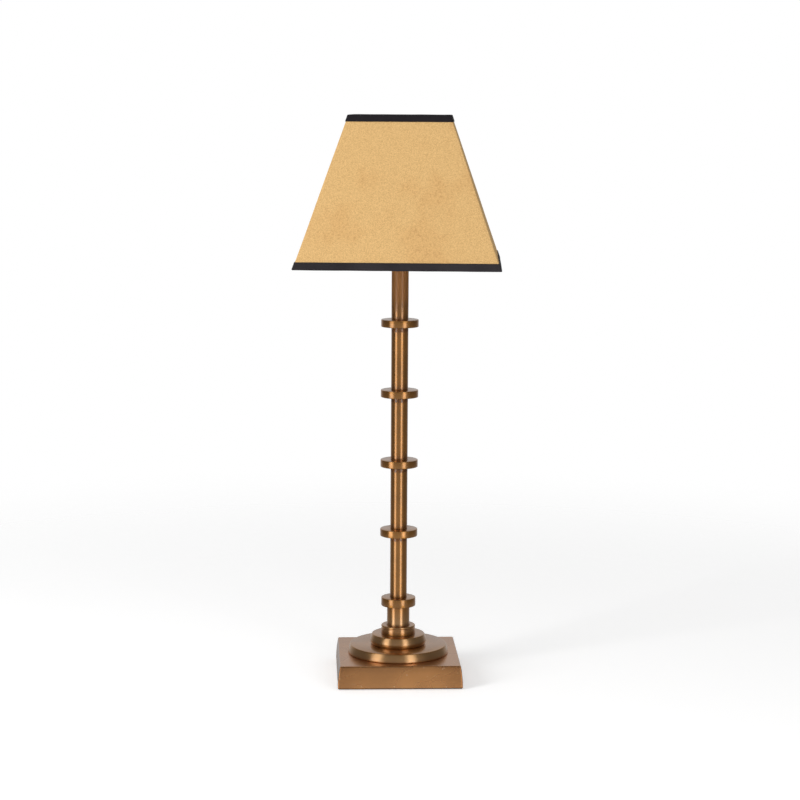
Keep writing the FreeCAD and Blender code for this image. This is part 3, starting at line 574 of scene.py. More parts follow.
@dataclass
class Turning:
    """One piece turned on the lathe, from a bore and the outer side's radii and heights, bottom first.

    Painted shade, together with tarnish, darkens the seams and fades over seam_reach. The top is dull over a
    height of dull_top.
    """

    node: str
    bore: float
    side: list[Pair]
    arris: float = 0.45 * MM
    crease: float = 28.0
    seams: tuple[Pair, ...] = ()
    seam_reach: float = 0.9 * MM
    dull_top: float = 0.0

    ATTRIBUTES = ("worn", "seam_shaded_and_tarnished", "dulled", "lying")
    SEGMENTS = 144
    ARRIS_STEPS = 3
    BORE_SLACK = 1.01
    SEAM_SLACK = 0.05 * MM
    SEAM_SPAN = (-0.01, 1.01)
    # In lengths of seam_reach: the points round a seam, and the shortest stretch that gets them.
    SEAM_STEPS = (-3.5, -2, -1, -0.5, 0, 0.5, 1, 2, 3.5)
    SHORTEST = 3
    DULL_STEPS = (0.85, 1.15)
    LYING_SPAN = (0.3, 0.9)

    def __post_init__(self) -> None:
        """Close the half outline at the bore."""
        self.top = self.side[-1][1]
        self.outline = [(self.bore, self.side[0][1]), *self.side, (self.bore, self.top)]

    def seam_shares(self, start: Vector, along: Vector) -> set[float]:
        """Where a straight stretch of the outline needs points for the seams on it.

        Args:
            start: The stretch's start.
            along: The way from its start to its end.

        Returns:
            The places, as shares of the stretch.
        """
        shares = set()
        near_end = 2 * self.arris / along.length
        for seam in map(Vector, self.seams):
            share = (seam - start).dot(along) / along.length_squared
            off = (start + along * share - seam).length
            on_stretch = off < self.SEAM_SLACK and self.SEAM_SPAN[0] < share < self.SEAM_SPAN[1]
            if on_stretch and along.length > self.SHORTEST * self.seam_reach:
                places = (share + step * self.seam_reach / along.length for step in self.SEAM_STEPS)
                shares.update(place for place in places if near_end < place < 1 - near_end)
        return shares

    def finer_outline(self) -> list[Pair]:
        """The outline with more points near its seams and round the end of its dull top.

        Returns:
            The finer outline.
        """
        finer = []
        for start, end in zip(self.outline, self.outline[1:] + self.outline[:1]):
            here, along = Vector(start), Vector(end) - Vector(start)
            shares = {0.0} | self.seam_shares(here, along)
            if self.dull_top and min(start[0], end[0]) > self.bore:
                drops = (step * self.dull_top for step in self.DULL_STEPS)
                places = ((self.top - drop - here.y) / along.y for drop in drops)
                shares.update(place for place in places if 0 < place < 1)
            finer += [tuple(here + along * share) for share in sorted(shares)]
        return finer

    def shape(self) -> Shape:
        """Spin the outline round the axis and break its sharp edges.

        Returns:
            The closed shape.
        """
        bm = bmesh.new()
        ring = [bm.verts.new((radius, 0, height)) for radius, height in self.finer_outline()]
        sides = [bm.edges.new(pair) for pair in zip(ring, ring[1:] + ring[:1])]
        bmesh.ops.spin(bm, geom=ring + sides, axis=(0, 0, 1), cent=(0, 0, 0), dvec=(0, 0, 0),
                       angle=math.tau, steps=self.SEGMENTS, use_merge=True)
        bmesh.ops.remove_doubles(bm, verts=bm.verts[:], dist=MERGE)
        bmesh.ops.recalc_face_normals(bm, faces=bm.faces[:])
        limit = math.radians(self.crease)
        inner = self.bore * self.BORE_SLACK
        sharp = [edge for edge in bm.edges if edge.is_manifold and edge.verts[0].co.xy.length > inner
                 and abs(edge.calc_face_angle_signed()) > limit]
        round_off(bm, sharp, self.arris, self.ARRIS_STEPS)
        return bm

    def mark(self, mesh: bpy.types.Mesh) -> None:
        """Write how worn each point is, how much painted shade and tarnish it takes from the seams, how dull
        it is, and how level the surface lies there.

        Args:
            mesh: The finished piece's mesh.
        """
        layers = [mesh.attributes.new(name, "FLOAT", "POINT") for name in self.ATTRIBUTES]
        dull_from = self.top - self.dull_top
        corners = [Vector(point) for point in self.outline]
        seams = [Vector(point) for point in self.seams]
        steep, level = self.LYING_SPAN
        for vertex in mesh.vertices:
            here = Vector((vertex.co.xy.length, vertex.co.z))
            near = min((here - corner).length for corner in corners)
            # Painted shade with tarnish: strongest at each seam and fading away from it.
            seam_shade_and_tarnish_mask = max((math.exp(-(here - seam).length / self.seam_reach) for seam in seams), default=0.0)
            worn = max(0.0, 1 - near / self.arris) * (1 - seam_shade_and_tarnish_mask)
            dulled = float(self.dull_top > 0 and here.y > dull_from)
            lying = min(1.0, max(0.0, (abs(vertex.normal.z) - steep) / (level - steep)))
            for layer, value in zip(layers, (worn, seam_shade_and_tarnish_mask, dulled, lying * lying * (3 - 2 * lying))):
                layer.data[vertex.index].value = value

    def build(self, material: Material) -> None:
        """Make the piece, which stands for its node.

        Args:
            material: The brass.
        """
        piece = settle(self.shape(), self.node + "_turned", material)
        self.mark(piece.data)
        hand_over(piece, Body.STAND, "brass", self.node)


@dataclass(frozen=True)
class DiscSide:
    """How the side of a disc leans out from its top edge to a lip and curls in below it."""

    top_radius: float
    swell: float
    undercut: float
    curl_height: float
    curl_swell: float
    swell_steps: int = 8
    curl_steps: int = 6


@dataclass
class Block:
    """The square block of the foot: the solid's own shape with its outer edges rounded softly."""

    foot_half: float = 58.5 * MM
    top_half: float = 56.5 * MM
    bow: float = 0.5 * MM
    corner: float = 1.1 * MM
    top_round: float = 1.1 * MM
    bottom_round: float = 1.5 * MM
    skin: float = 54.6 * MM
    smooth_within: float = math.cos(math.radians(40))
    crease: float = 40.0

    ROUND_CUTS = (0.15, 0.4, 0.7, 1.0)
    SIDE_CUTS = (0.2, 0.4, 0.6, 0.8)
    TOP_CUTS = (0.15, 0.35, 0.6, 1.0)

    def __post_init__(self) -> None:
        """Read the block's heights from the frame and work out how much it narrows."""
        low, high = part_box("plinth")
        self.bottom, self.top = low.z, high.z
        self.tall = high.z - low.z
        self.taper = self.foot_half - self.top_half

    def share(self, height: float) -> float:
        """How far up the square block a height is, from 0 to 1."""
        return (height - self.bottom) / self.tall

    def half(self, height: float) -> float:
        """Half the width of the square block at a height, without the rounding of its edges."""
        share = self.share(height)
        return self.foot_half - self.taper * share + 4 * self.bow * share * (1 - share)

    def lean(self, height: float) -> float:
        """How much the block's sides face upwards at a height, as a slope."""
        bend = 4 * self.bow * (1 - 2 * self.share(height))
        return (self.taper - bend) / self.tall

    def softened(self, place: Vector) -> tuple[Vector, Vector]:
        """Where a point of the square block lies once its outer edges are rounded softly.

        Args:
            place: A point on the block's outside.

        Returns:
            The point on the rounded block, and the way that the block faces there.
        """
        half = self.half(place.z)
        lean = self.lean(place.z)
        facing = Vector((0, 1)) if place.z > self.top - TOUCH else Vector((1, lean))
        inward = Vector((half - abs(place.x), half - abs(place.y)))
        if max(inward) < self.corner:
            out = Vector((self.corner, self.corner)) - inward
            reach = min(out.length, self.corner)
            out.normalize()
            depth = self.corner - reach
        else:
            out = Vector((1, 0)) if inward.x < inward.y else Vector((0, 1))
            depth = min(inward)
            reach = 0.0
        height = place.z
        for edge, way, radius in ((self.top, 1, self.top_round),
                                  (self.bottom, -1, self.bottom_round)):
            from_edge = way * (edge - height)
            if depth < radius and from_edge < radius:
                arm = Vector((radius - depth, radius - from_edge))
                facing = Vector((arm.x, lean * arm.x + way * arm.y))
                if arm.length > radius:
                    arm *= radius / arm.length
                    moved = radius - arm.x
                    reach -= moved - depth
                    depth = moved
                    height = edge - way * (radius - arm.y)
        if max(inward) < self.corner:
            across = Vector((half - self.corner,) * 2) + out * reach
        else:
            across = Vector((abs(place.x), abs(place.y)))
            across -= out * (depth - min(inward))
        way_out = out * facing.x
        signs = (math.copysign(1, place.x), math.copysign(1, place.y))
        return (Vector((signs[0] * across.x, signs[1] * across.y, height)),
                Vector((signs[0] * way_out.x, signs[1] * way_out.y, facing.y)).normalized())

    def cuts(self) -> list[tuple[Triple, Triple]]:
        """The planes that cut the block where its edges are rounded, each as a point and a normal.

        Returns:
            The planes.
        """
        bottom, top = self.bottom, self.top
        heights = [bottom + share * self.bottom_round for share in self.ROUND_CUTS]
        heights += [bottom + share * self.tall for share in self.SIDE_CUTS]
        heights += [top - share * self.top_round for share in self.ROUND_CUTS]
        cuts = [((0, 0, height), (0, 0, 1)) for height in heights]
        lean = self.taper / self.tall
        for share in self.TOP_CUTS:
            reach = self.foot_half - share * self.top_round
            for side in (1, -1):
                cuts.append(((side * reach, 0, bottom), (side, 0, lean)))
                cuts.append(((0, side * reach, bottom), (0, side, lean)))
        return cuts

    def build(self) -> None:
        """Make the block."""
        bm = bmesh.new()
        bm.from_mesh(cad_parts["plinth"].data)
        bmesh.ops.remove_doubles(bm, verts=bm.verts[:], dist=TOUCH)
        for point, normal in self.cuts():
            bmesh.ops.bisect_plane(bm, geom=bm.verts[:] + bm.edges[:] + bm.faces[:], dist=MERGE,
                                   plane_co=point, plane_no=Vector(normal).normalized())
        facing = bm.verts.layers.float_vector.new("facing")
        for vertex in bm.verts:
            outside = max(abs(vertex.co.x), abs(vertex.co.y)) > self.skin
            if outside or vertex.co.z > self.top - TOUCH:
                vertex.co, vertex[facing] = self.softened(vertex.co)
        piece = settle(bm, "plinth_block", CastBrass().material(), self.crease)
        mesh = piece.data
        smooth = [Vector(item.vector) for item in mesh.attributes["facing"].data]
        normals = []
        for face in mesh.polygons:
            for index in face.vertices:
                on_outside = smooth[index].dot(face.normal) > self.smooth_within
                normals.append(smooth[index] if on_outside else face.normal)
        mesh.normals_split_custom_set(normals)
        mesh.attributes.remove(mesh.attributes["facing"])
        hand_over(piece, Body.STAND, "brass", "plinth")


@dataclass
class Foot:
    """The square foot, its felt, the turned discs and the collar on it."""

    bore: float = 5.2 * MM
    large_side: DiscSide = DiscSide(top_radius=45.7 * MM, swell=0.35 * MM, undercut=0.8 * MM,
                                    curl_height=0.8 * MM, curl_swell=0.23 * MM)
    small_side: DiscSide = DiscSide(top_radius=24.9 * MM, swell=0.3 * MM, undercut=1.3 * MM,
                                    curl_height=3.8 * MM, curl_swell=0.25 * MM)
    disc_arris: float = 0.4 * MM
    disc_crease: float = 50.0
    collar_rim: float = 2.1 * MM
    collar_bead: float = 0.6 * MM
    collar_bead_steps: int = 8
    collar_groove: float = 1.0 * MM
    collar_groove_depth: float = 0.8 * MM
    collar_arris: float = 0.35 * MM
    collar_crease: float = 45.0
    felt_corner: float = 4 * MM
    felt_corner_steps: int = 8
    felt_edge: float = 0.5 * MM
    felt_edge_steps: int = 3

    def disc(self, node: str, side: DiscSide, seat: float) -> Turning:
        """A disc whose side leans out to a lip and curls in below it.

        Args:
            node: The CAD node.
            side: The form of its side.
            seat: The radius of what stands on it.

        Returns:
            The turning.
        """
        low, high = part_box(node)
        bottom, top = low.z, high.z
        foot = (high.x - side.undercut, bottom)
        lip = (high.x, bottom + side.curl_height)
        brow = (side.top_radius, top)
        points = [foot, *bow(foot, lip, side.curl_swell, side.curl_steps), lip,
                  *bow(lip, brow, side.swell, side.swell_steps), brow]
        return Turning(node, self.bore, points, self.disc_arris, self.disc_crease, ((seat, top), foot))

    def collar(self) -> Turning:
        """The collar: a band, a groove and a rounded rim.

        Returns:
            The turning.
        """
        low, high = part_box("base_collar")
        neck_low, neck_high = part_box("stem_neck")
        radius, bottom, top = high.x, low.z, neck_low.z
        rim_bottom = top - self.collar_rim
        band_top = rim_bottom - self.collar_groove
        groove = radius - self.collar_groove_depth
        rim = radius - self.collar_bead
        bead = bow((rim, rim_bottom), (rim, top), self.collar_bead, self.collar_bead_steps)
        points = [(radius, bottom), (radius, band_top), (groove, band_top), (groove, rim_bottom),
                  (rim, rim_bottom), *bead, (rim, top)]
        return Turning("base_collar", self.bore, points, self.collar_arris, self.collar_crease,
                       ((neck_high.x, top), (radius, bottom)))

    def felt(self) -> None:
        """Lay the felt under the foot: a square with rounded corners and a rounded lower edge."""
        low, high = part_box("felt_pad")
        bm = rounded_square(high.x, high.z, self.felt_corner, self.felt_corner_steps)
        made = bmesh.ops.extrude_face_region(bm, geom=bm.faces[:])["geom"]
        raise_by(bm, low.z - high.z, [item for item in made if isinstance(item, bmesh.types.BMVert)])
        bmesh.ops.recalc_face_normals(bm, faces=bm.faces[:])
        rim = [edge for edge in bm.edges if all(abs(vertex.co.z - low.z) < MERGE for vertex in edge.verts)]
        round_off(bm, rim, self.felt_edge, self.felt_edge_steps)
        finish = Plain("felt", (0.045, 0.04, 0.036), 0.95, grain_per_m=1500.0, grain_depth=0.2 * MM,
                       mottle=0.35)
        piece = settle(bm, "felt_sheet", finish.material())
        hand_over(piece, Body.STAND, "felt", "felt_pad")

    def build(self, brass: Material) -> None:
        """Make and dress the foot.

        Args:
            brass: The turned brass.
        """
        small_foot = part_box("base_disc_small")[1].x - self.small_side.undercut
        self.disc("base_disc_large", self.large_side, small_foot).build(brass)
        self.disc("base_disc_small", self.small_side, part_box("base_collar")[1].x).build(brass)
        self.collar().build(brass)
        Block().build()
        self.felt()
        dress(Plain("black_plastic", (0.02, 0.02, 0.021), 0.42, grain_depth=0.02 * MM), "inlet_bush")
        dress(Plain("hardboard", (0.20, 0.12, 0.06), 0.8, grain_depth=0.05 * MM), "base_board")
        dress(Plain("cast_iron", (0.05, 0.05, 0.052), 0.6, metallic=0.6, grain_depth=0.1 * MM),
              "ballast_weight")


@dataclass
class Stem:
    """The neck, the five collars, the five tubes and the seat of the lampholder."""

    collars: int = 5
    collar_arris: float = 0.55 * MM
    collar_bore: float = 5.2 * MM
    first_collar_drop: float = 1.2 * MM
    tube_arris: float = 0.08 * MM
    tube_bore: float = 6.5 * MM
    tube_seam_reach: float = 1.5 * MM
    dull_top: float = 4.5 * MM
    neck_radius: float = 10.7 * MM
    neck_crease: float = 60.0
    flare_height: float = 3.0 * MM
    flare_bow: float = -0.15 * MM
    flare_steps: int = 5

    def collar(self, node: str, bottom: float, top: float, seat: float) -> Turning:
        """A collar, or the seat on the stem, between two heights and between tubes of a radius."""
        side = [(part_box(node)[1].x, height) for height in (bottom, top)]
        return Turning(node, self.collar_bore, side, self.collar_arris, seams=((seat, top), (seat, bottom)))

    def tube(self, node: str) -> Turning:
        """A tube, which is dull just below the collar on it."""
        side = [(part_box(node)[1].x, corner.z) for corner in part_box(node)]
        return Turning(node, self.tube_bore, side, self.tube_arris, seams=tuple(side),
                       seam_reach=self.tube_seam_reach, dull_top=self.dull_top)

    def neck(self, top: float) -> Turning:
        """The neck, which flares at its foot.

        Args:
            top: The height of its upper face.

        Returns:
            The turning.
        """
        low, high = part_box("stem_neck")
        foot = (high.x, low.z)
        waist = (self.neck_radius, low.z + self.flare_height)
        brow = (self.neck_radius, top)
        side = [foot, *bow(foot, waist, self.flare_bow, self.flare_steps), waist, brow]
        return Turning("stem_neck", self.tube_bore, side, self.tube_arris, self.neck_crease, (foot, brow))

    def build(self, brass: Material) -> None:
        """Make the stem from the neck up.

        Args:
            brass: The turned brass.
        """
        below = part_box("stem_neck")[1].z - self.first_collar_drop
        self.neck(below).build(brass)
        for number in range(1, self.collars + 1):
            tube_low, tube_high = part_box(f"stem_tube_{number}")
            self.collar(f"stem_collar_{number}", below, tube_low.z, tube_high.x).build(brass)
            self.tube(f"stem_tube_{number}").build(brass)
            below = tube_high.z
        self.collar("stem_seat", below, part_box("stem_seat")[1].z, tube_high.x).build(brass)


@dataclass(frozen=True)
class Ripple:
    """How uneven a band is: its greatest push in or out, its features per metre and the noise's shift."""

    depth: float
    per_m: float
    shift: float


@dataclass
class Shade:
    """The cloth cover, the ribbon round its two edges, and the wire frame and stiff lining inside it."""

    bottom_half: float = 93.7 * MM
    top_half: float = 46.3 * MM
    corner: float = 1.2 * MM
    corner_steps: int = 5
    side_cuts: int = 30
    crease: float = 60.0
    rows: int = 34
    cloth_thickness: float = 0.55 * MM
    cloth_inset: float = 1.2 * MM
    cloth_ripple: Ripple = Ripple(0.16 * MM, 24.0, 3.1)
    ribbon_thickness: float = 0.7 * MM
    ribbon_gap: float = 0.05 * MM
    ribbon_end_proud: float = 0.3 * MM
    ribbon_fold: float = 0.45 * MM
    ribbon_ripple: Ripple = Ripple(0.12 * MM, 70.0, 9.7)
    bottom_ribbon_height: float = 7.1 * MM
    top_ribbon_height: float = 6.4 * MM
    ribbon_inner_height: float = 5.2 * MM
    laminate: float = 1.2 * MM

    OUTER_ROWS = (0.06, 0.2, 0.4, 0.6, 0.8, 0.93)
    INNER_ROWS = (0.1, 0.5, 1.0)
    FOLD_STEPS = 8

    def __post_init__(self) -> None:
        """Read the shade's place from the frame."""
        self.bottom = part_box("shade_trim_bottom")[0].z
        self.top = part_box("shade_trim_top")[1].z
        self.slope = (self.bottom_half - self.top_half) / (self.top - self.bottom)
        self.slant = math.hypot(1, self.slope)

    def half(self, height: float, proud: float = 0.0) -> float:
        """Half the width at a height, so far outside the cloth's outer face."""
        return self.bottom_half - self.slope * (height - self.bottom) + proud * self.slant

    def band(self, stations: list[Pair]) -> Shape:
        """A square band with rounded corners that passes through a row of stations.

        Args:
            stations: Half widths and heights, from one edge of the band to the other.

        Returns:
            The band, one face thick.
        """
        half, height = stations[0]
        bm = rounded_square(half, height, self.corner, self.corner_steps)
        bmesh.ops.delete(bm, geom=bm.faces[:], context="FACES_ONLY")
        long_edges = [edge for edge in bm.edges if edge.calc_length() > half]
        bmesh.ops.subdivide_edges(bm, edges=long_edges, cuts=self.side_cuts)
        ring = bm.edges[:]
        for next_half, next_height in stations[1:]:
            made = bmesh.ops.extrude_edge_only(bm, edges=ring)["geom"]
            moved = [item for item in made if isinstance(item, bmesh.types.BMVert)]
            new_points = set(moved)
            ring = [item for item in made if isinstance(item, bmesh.types.BMEdge)
                    and new_points.issuperset(item.verts)]
            bmesh.ops.scale(bm, vec=(next_half / half, next_half / half, 1), verts=moved)
            raise_by(bm, next_height - height, moved)
            half, height = next_half, next_height
        bmesh.ops.recalc_face_normals(bm, faces=bm.faces[:])
        return bm

    def hang(self, bm: Shape, name: str, material: Material, ripple: Ripple, thickness: float,
             offset: float) -> Piece:
        """Make a band uneven, turn it to the angle of the shade over the foot and give it its thickness.

        Args:
            bm: The band.
            name: The piece's name.
            material: Its material.
            ripple: How uneven it is.
            thickness: Its thickness.
            offset: -1 for a thickness inwards, 0 for both ways.

        Returns:
            The piece.
        """
        shift = Vector((1, 2, 3)) * ripple.shift
        for vertex in bm.verts:
            vertex.co += vertex.normal * (ripple.depth * noise.noise(vertex.co * ripple.per_m + shift))
        bmesh.ops.rotate(bm, cent=(0, 0, 0), matrix=Matrix.Rotation(SHADE_TURN, 3, "Z"), verts=bm.verts[:])
        piece = settle(bm, name, material, self.crease)
        modifier = piece.modifiers.new("thickness", "SOLIDIFY")
        modifier.thickness = thickness
        modifier.offset = offset
        modifier.use_even_offset = True
        return piece

    def cover(self) -> None:
        """Make the cloth, one sheet that goes right round."""
        low, high = self.bottom + self.cloth_inset, self.top - self.cloth_inset
        heights = [low + (high - low) * row / self.rows for row in range(self.rows + 1)]
        bm = self.band([(self.half(height), height) for height in heights])
        piece = self.hang(bm, "shade_cloth", SuedeCloth().material(), self.cloth_ripple,
                          self.cloth_thickness, -1.0)
        hand_over(piece, Body.SHADE, "cover_fabric", *Side.nodes("shade_cover_"))
        Side.nodes("shade_lining_")

    def ribbon_stations(self, edge: float, way: int, ribbon_height: float) -> list[Pair]:
        """The ribbon's way over the outside, round the shade's edge and back on the inside.

        Args:
            edge: The height of the edge.
            way: 1 for the bottom edge and -1 for the top.
            ribbon_height: How far the ribbon comes from the edge.

        Returns:
            Half widths and heights.
        """
        proud = self.ribbon_thickness / 2 + self.ribbon_gap
        inner = -(self.laminate + proud)
        outer_end = edge + way * ribbon_height
        inner_end = edge + way * self.ribbon_inner_height
        fold = edge + way * self.ribbon_fold
        stations = [(self.half(outer_end, self.ribbon_end_proud), outer_end)]
        for share in self.OUTER_ROWS:
            height = outer_end + (fold - outer_end) * share
            stations.append((self.half(height, proud), height))
        middle, width = (proud + inner) / 2, (proud - inner) / 2
        for step in range(1, self.FOLD_STEPS):
            turn = math.pi * step / self.FOLD_STEPS
            height = fold + way * self.ribbon_fold * (1 - math.sin(turn))
            stations.append((self.half(height, middle + width * math.cos(turn)), height))
        nearer = min if way > 0 else max
        for share in self.INNER_ROWS:
            height = fold + way * self.ribbon_fold + (inner_end - fold) * share
            stations.append((self.half(height, inner), nearer(height, inner_end)))
        return stations

    def ribbon(self, name: str, edge: float, way: int, ribbon_height: float, material: Material) -> None:
        """Fold the ribbon over one edge of the shade.

        Args:
            name: The piece's name.
            edge: The height of the edge.
            way: 1 for the bottom edge and -1 for the top.
            ribbon_height: How far the ribbon comes from the edge.
            material: The ribbon.
        """
        stations = self.ribbon_stations(edge, way, ribbon_height)
        uneven = self.ribbon_ripple
        ripple = Ripple(uneven.depth, uneven.per_m, uneven.shift + way)
        piece = self.hang(self.band(stations), name, material, ripple, self.ribbon_thickness, 0.0)
        hand_over(piece, Body.SHADE, "trim", name.replace("ribbon", "shade_trim"))

    def build(self) -> None:
        """Make and dress the shade."""
        self.cover()
        material = Ribbon().material()
        self.ribbon("ribbon_bottom", self.bottom, 1, self.bottom_ribbon_height, material)
        self.ribbon("ribbon_top", self.top, -1, self.top_ribbon_height, material)
        dress(Plain("shade_lining", (0.90, 0.87, 0.80), 0.75, grain_per_m=700.0, grain_depth=0.03 * MM),
              *Side.nodes("shade_lining_"))
        dress(Plain("white_enamel", (0.84, 0.84, 0.81), 0.32, grain_per_m=300.0, coat=0.3),
              "shade_frame_top", "shade_frame_bottom", "fitter_ring", "fitter_arms", "carrier_base",
              "carrier_wires", "carrier_seat")


@dataclass
class Lampholder:
    """The lampholder, the bulb and what clamps the stem and the carrier. The nodes keep their shapes."""

    plastic: Plain = Plain("holder_plastic", (0.80, 0.78, 0.72), 0.38, grain_per_m=500.0)
    ceramic: Plain = Plain("ceramic", (0.84, 0.82, 0.77), 0.55, grain_per_m=1200.0)
    brass: Plain = Plain("bright_brass", (0.78, 0.58, 0.28), 0.3, metallic=1.0)
    steel: Plain = Plain("plated_steel", (0.58, 0.58, 0.57), 0.35, metallic=1.0)
    glass: Plain = Plain("opal_glass", (0.90, 0.895, 0.87), 0.22, grain_depth=0.002 * MM, mottle=0.03,
                         coat=0.6)
    cap: Plain = Plain("cap_metal", (0.74, 0.74, 0.75), 0.28, metallic=1.0)
    vitrite: Plain = Plain("black_vitrite", (0.015, 0.015, 0.017), 0.12)

    def build(self) -> None:
        """Dress the nodes."""
        dress(self.plastic, "holder_cap", "holder_sleeve", "clamp_ring")
        dress(self.ceramic, "terminal_block", "insulating_liner")
        dress(self.brass, "terminal_screws", "screw_shell", "centre_contact")
        dress(self.steel, "holder_grub_screw", "clamp_washer", "threaded_rod", "rod_nut", "rod_washer")
        dress(self.glass, "bulb_glass")
        dress(self.cap, "bulb_cap", "bulb_contact")
        dress(self.vitrite, "bulb_insulator")


@dataclass(frozen=True)
class Lamp:
    """A soft lamp that faces the object. Its azimuth counts from the front, positive towards +X."""

    name: str
    azimuth_deg: float
    distance: float
    height: float
    size: Pair
    watts: float
    aim_height: float = 0.3

    def build(self) -> None:
        """Hang the lamp."""
        data = bpy.data.lights.new(self.name, "AREA")
        data.shape = "RECTANGLE"
        data.size, data.size_y = self.size
        data.energy = self.watts
        lamp = link(bpy.data.objects.new(self.name, data))
        angle = math.radians(self.azimuth_deg)
        place = Vector((self.distance * math.sin(angle), -self.distance * math.cos(angle), self.height))
        aim = Vector((0, 0, self.aim_height)) - place
        lamp.matrix_world = Matrix.Translation(place) @ aim.to_track_quat("-Z", "Y").to_matrix().to_4x4()
        lamp.visible_glossy = False


@dataclass(frozen=True)
class SoftBox:
    """A bright upright band of the tent, which the brass reflects."""

    azimuth_deg: float
    half_width_deg: float
    level: float


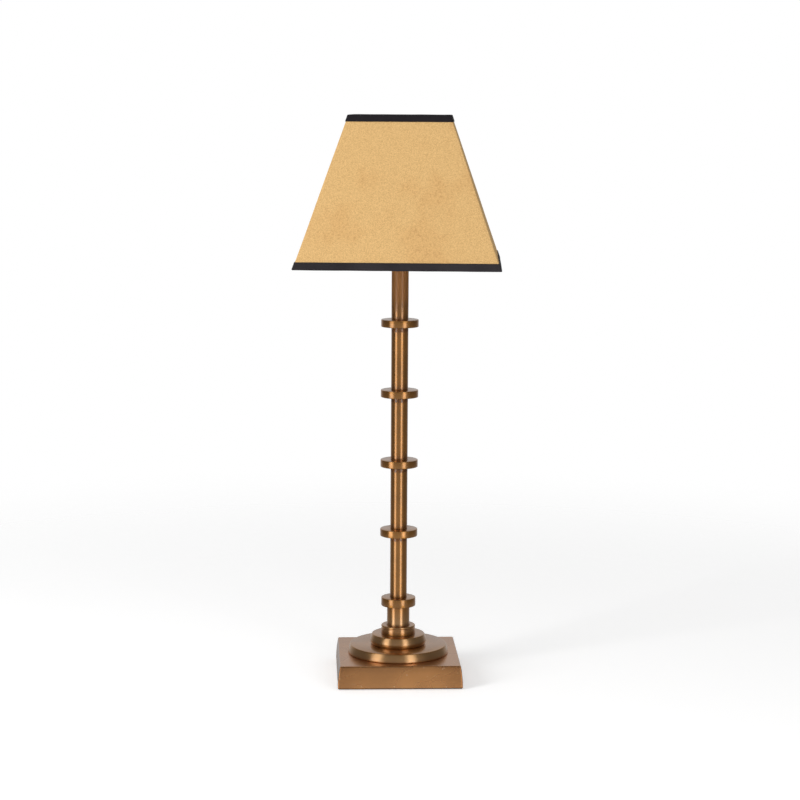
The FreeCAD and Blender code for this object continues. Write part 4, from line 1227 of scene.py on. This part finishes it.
@dataclass
class Studio:
    """The camera, the lamps, the floor and the surroundings that the brass reflects.

    A step of the tent's light holds a range and the levels at its ends. The range is an azimuth in degrees
    or a rise, which is the height over the tent's radius.
    """

    camera_place: Triple = (-0.08843, -1.99973, 0.54099)
    heading_deg: float = 2.546
    pitch_deg: float = -7.843
    roll_deg: float = 0.337
    focal_mm: float = 96.38
    sensor_mm: float = 36.0
    camera_reach: float = 50.0
    lamps: tuple[Lamp, ...] = (
        Lamp("key", KEY_DEG, 1.7, 0.7, (0.6, 1.3), 20.5),
        Lamp("fill", FILL_DEG, 1.9, 0.6, (0.5, 1.2), 6.5),
        Lamp("front", 0.0, 2.6, 0.7, (1.2, 0.8), 11.5),
    )
    floor_radius: float = 2.2
    floor_segments: int = 96
    floor_drop: float = 0.1 * MM
    floor_fade: Pair = (0.25, 1.2)
    floor_colour: Colour = (0.93, 0.93, 0.93)
    floor_glow: float = 0.42
    room_light: float = 0.36
    tent_radius: float = 4.0
    tent_fineness: int = 5
    ahead: tuple[Step, ...] = (
        ((-0.32, -0.08), (0.56, 0.41)),
        ((0.0, 0.22), (0.0, -0.15)),
        ((0.3, 0.7), (0.0, -0.14)),
    )
    beside: Step = ((-0.30, -0.16), (0.34, 0.12))
    beside_from: Pair = (30, 75)
    behind: Step = ((115, 165), (0.0, 0.34))
    behind_rise: Pair = (-0.26, -0.18)
    boxes: tuple[SoftBox, ...] = (SoftBox(KEY_DEG, 12.0, 2.75), SoftBox(FILL_DEG, 9.5, 3.05))
    box_soft_deg: float = 7
    box_steps: tuple[Step, ...] = (
        ((-0.36, -0.26), (0.0, 1.0)),
        ((-0.02, 0.18), (1.0, 0.46)),
        ((0.65, 0.85), (1.0, 0.0)),
    )
    ground: Step = ((-0.8, -0.42), (0.15, 1.0))

    def camera(self) -> None:
        """Set up the camera where the photograph was taken from."""
        data = bpy.data.cameras.new("camera")
        data.sensor_width = self.sensor_mm
        data.lens = self.focal_mm
        data.clip_end = self.camera_reach
        camera = link(bpy.data.objects.new("camera", data))
        turn = (Matrix.Rotation(math.radians(-self.heading_deg), 4, "Z")
                @ Matrix.Rotation(math.radians(90 + self.pitch_deg), 4, "X")
                @ Matrix.Rotation(math.radians(self.roll_deg), 4, "Z"))
        camera.matrix_world = Matrix.Translation(self.camera_place) @ turn
        bpy.context.scene.camera = camera

    def floor(self) -> None:
        """Lay a white floor that fades into the white ground and is clear from below."""
        bm = bmesh.new()
        bmesh.ops.create_circle(bm, cap_ends=True, segments=self.floor_segments, radius=self.floor_radius)
        raise_by(bm, -self.floor_drop, bm.verts[:])
        bench = Bench("floor")
        fade = bench.spread(bench.from_axis(bench.place())[1], self.floor_fade)
        white = bench.node("BsdfDiffuse", {"Color": (*self.floor_colour, 1.0)}).outputs[0]
        clear = bench.node("BsdfTransparent").outputs[0]
        below = bench.node("NewGeometry").outputs["Backfacing"]
        seen = bench.node("LightPath").outputs["Is Camera Ray"]
        glow = bench.node("Emission", {"Strength": bench.times(seen, self.floor_glow)}).outputs[0]
        lit = bench.node("AddShader", {0: white, 1: glow}).outputs[0]
        mixed = bench.node("MixShader", {0: bench.math("MAXIMUM", fade, below), 1: lit, 2: clear}).outputs[0]
        floor = settle(bm, "floor", bench.finish(mixed))
        floor.visible_glossy = False

    def tent_light(self, bench: Bench) -> Socket:
        """How bright the tent is: grey, darker upwards and behind, with two soft boxes.

        Args:
            bench: The tent's bench.

        Returns:
            The level of light.
        """
        x, y, height = bench.parts(bench.place())
        azimuth = bench.math("DEGREES", bench.math("ARCTAN2", x, bench.times(y, -1.0)))
        turned = bench.size(azimuth)
        rise = bench.times(height, 1 / self.tent_radius)
        light = bench.spread(rise, *self.ahead[0])
        for step in self.ahead[1:]:
            light = bench.plus(light, bench.spread(rise, *step))
        beside = bench.spread(rise, *self.beside)
        light = bench.between(bench.spread(turned, self.beside_from), light, beside)
        behind = bench.times(bench.spread(turned, *self.behind), bench.spread(rise, self.behind_rise))
        light = bench.plus(light, behind)
        for box in self.boxes:
            away = bench.size(bench.math("SUBTRACT", azimuth, box.azimuth_deg))
            edges = (box.half_width_deg - self.box_soft_deg, box.half_width_deg + self.box_soft_deg)
            bright = bench.spread(away, edges, (box.level, 0.0))
            for step in self.box_steps:
                bright = bench.times(bright, bench.spread(rise, *step))
            light = bench.math("MAXIMUM", light, bright)
        return bench.times(light, bench.spread(rise, *self.ground))

    def tent(self) -> None:
        """Hang the surroundings that only reflections show."""
        bm = bmesh.new()
        bmesh.ops.create_icosphere(bm, subdivisions=self.tent_fineness, radius=self.tent_radius)
        bench = Bench("tent")
        material = bench.finish(bench.node("Emission", {"Strength": self.tent_light(bench)}).outputs[0])
        material.cycles.emission_sampling = "NONE"
        tent = settle(bm, "tent", material)
        tent.visible_camera = False
        tent.visible_diffuse = False
        tent.visible_transmission = False
        tent.visible_shadow = False

    def world(self) -> None:
        """Make the ground white to the eye and the room's own light softer than it."""
        bench = Bench("studio", world=True)
        rays = bench.node("LightPath").outputs
        seen = bench.math("MAXIMUM", rays["Is Camera Ray"], rays["Is Glossy Ray"])
        seen = bench.math("MAXIMUM", seen, rays["Is Transmission Ray"])
        inputs = {"Color": (1.0, 1.0, 1.0, 1.0), "Strength": bench.between(seen, self.room_light, 1.0)}
        bpy.context.scene.world = bench.finish(bench.node("Background", inputs).outputs[0])

    def build(self) -> None:
        """Set up the studio."""
        self.camera()
        for lamp in self.lamps:
            lamp.build()
        self.floor()
        self.tent()
        self.world()
        bpy.context.scene.view_settings.view_transform = "Standard"


def main() -> None:
    """Build the studio and dress the lamp from the foot up."""
    logging.basicConfig(level=logging.INFO, format="%(name)s: %(message)s")
    Studio().build()
    brass = TurnedBrass().material()
    Foot().build(brass)
    Stem().build(brass)
    Lampholder().build()
    Shade().build()


if __name__ == "__main__":
    main()
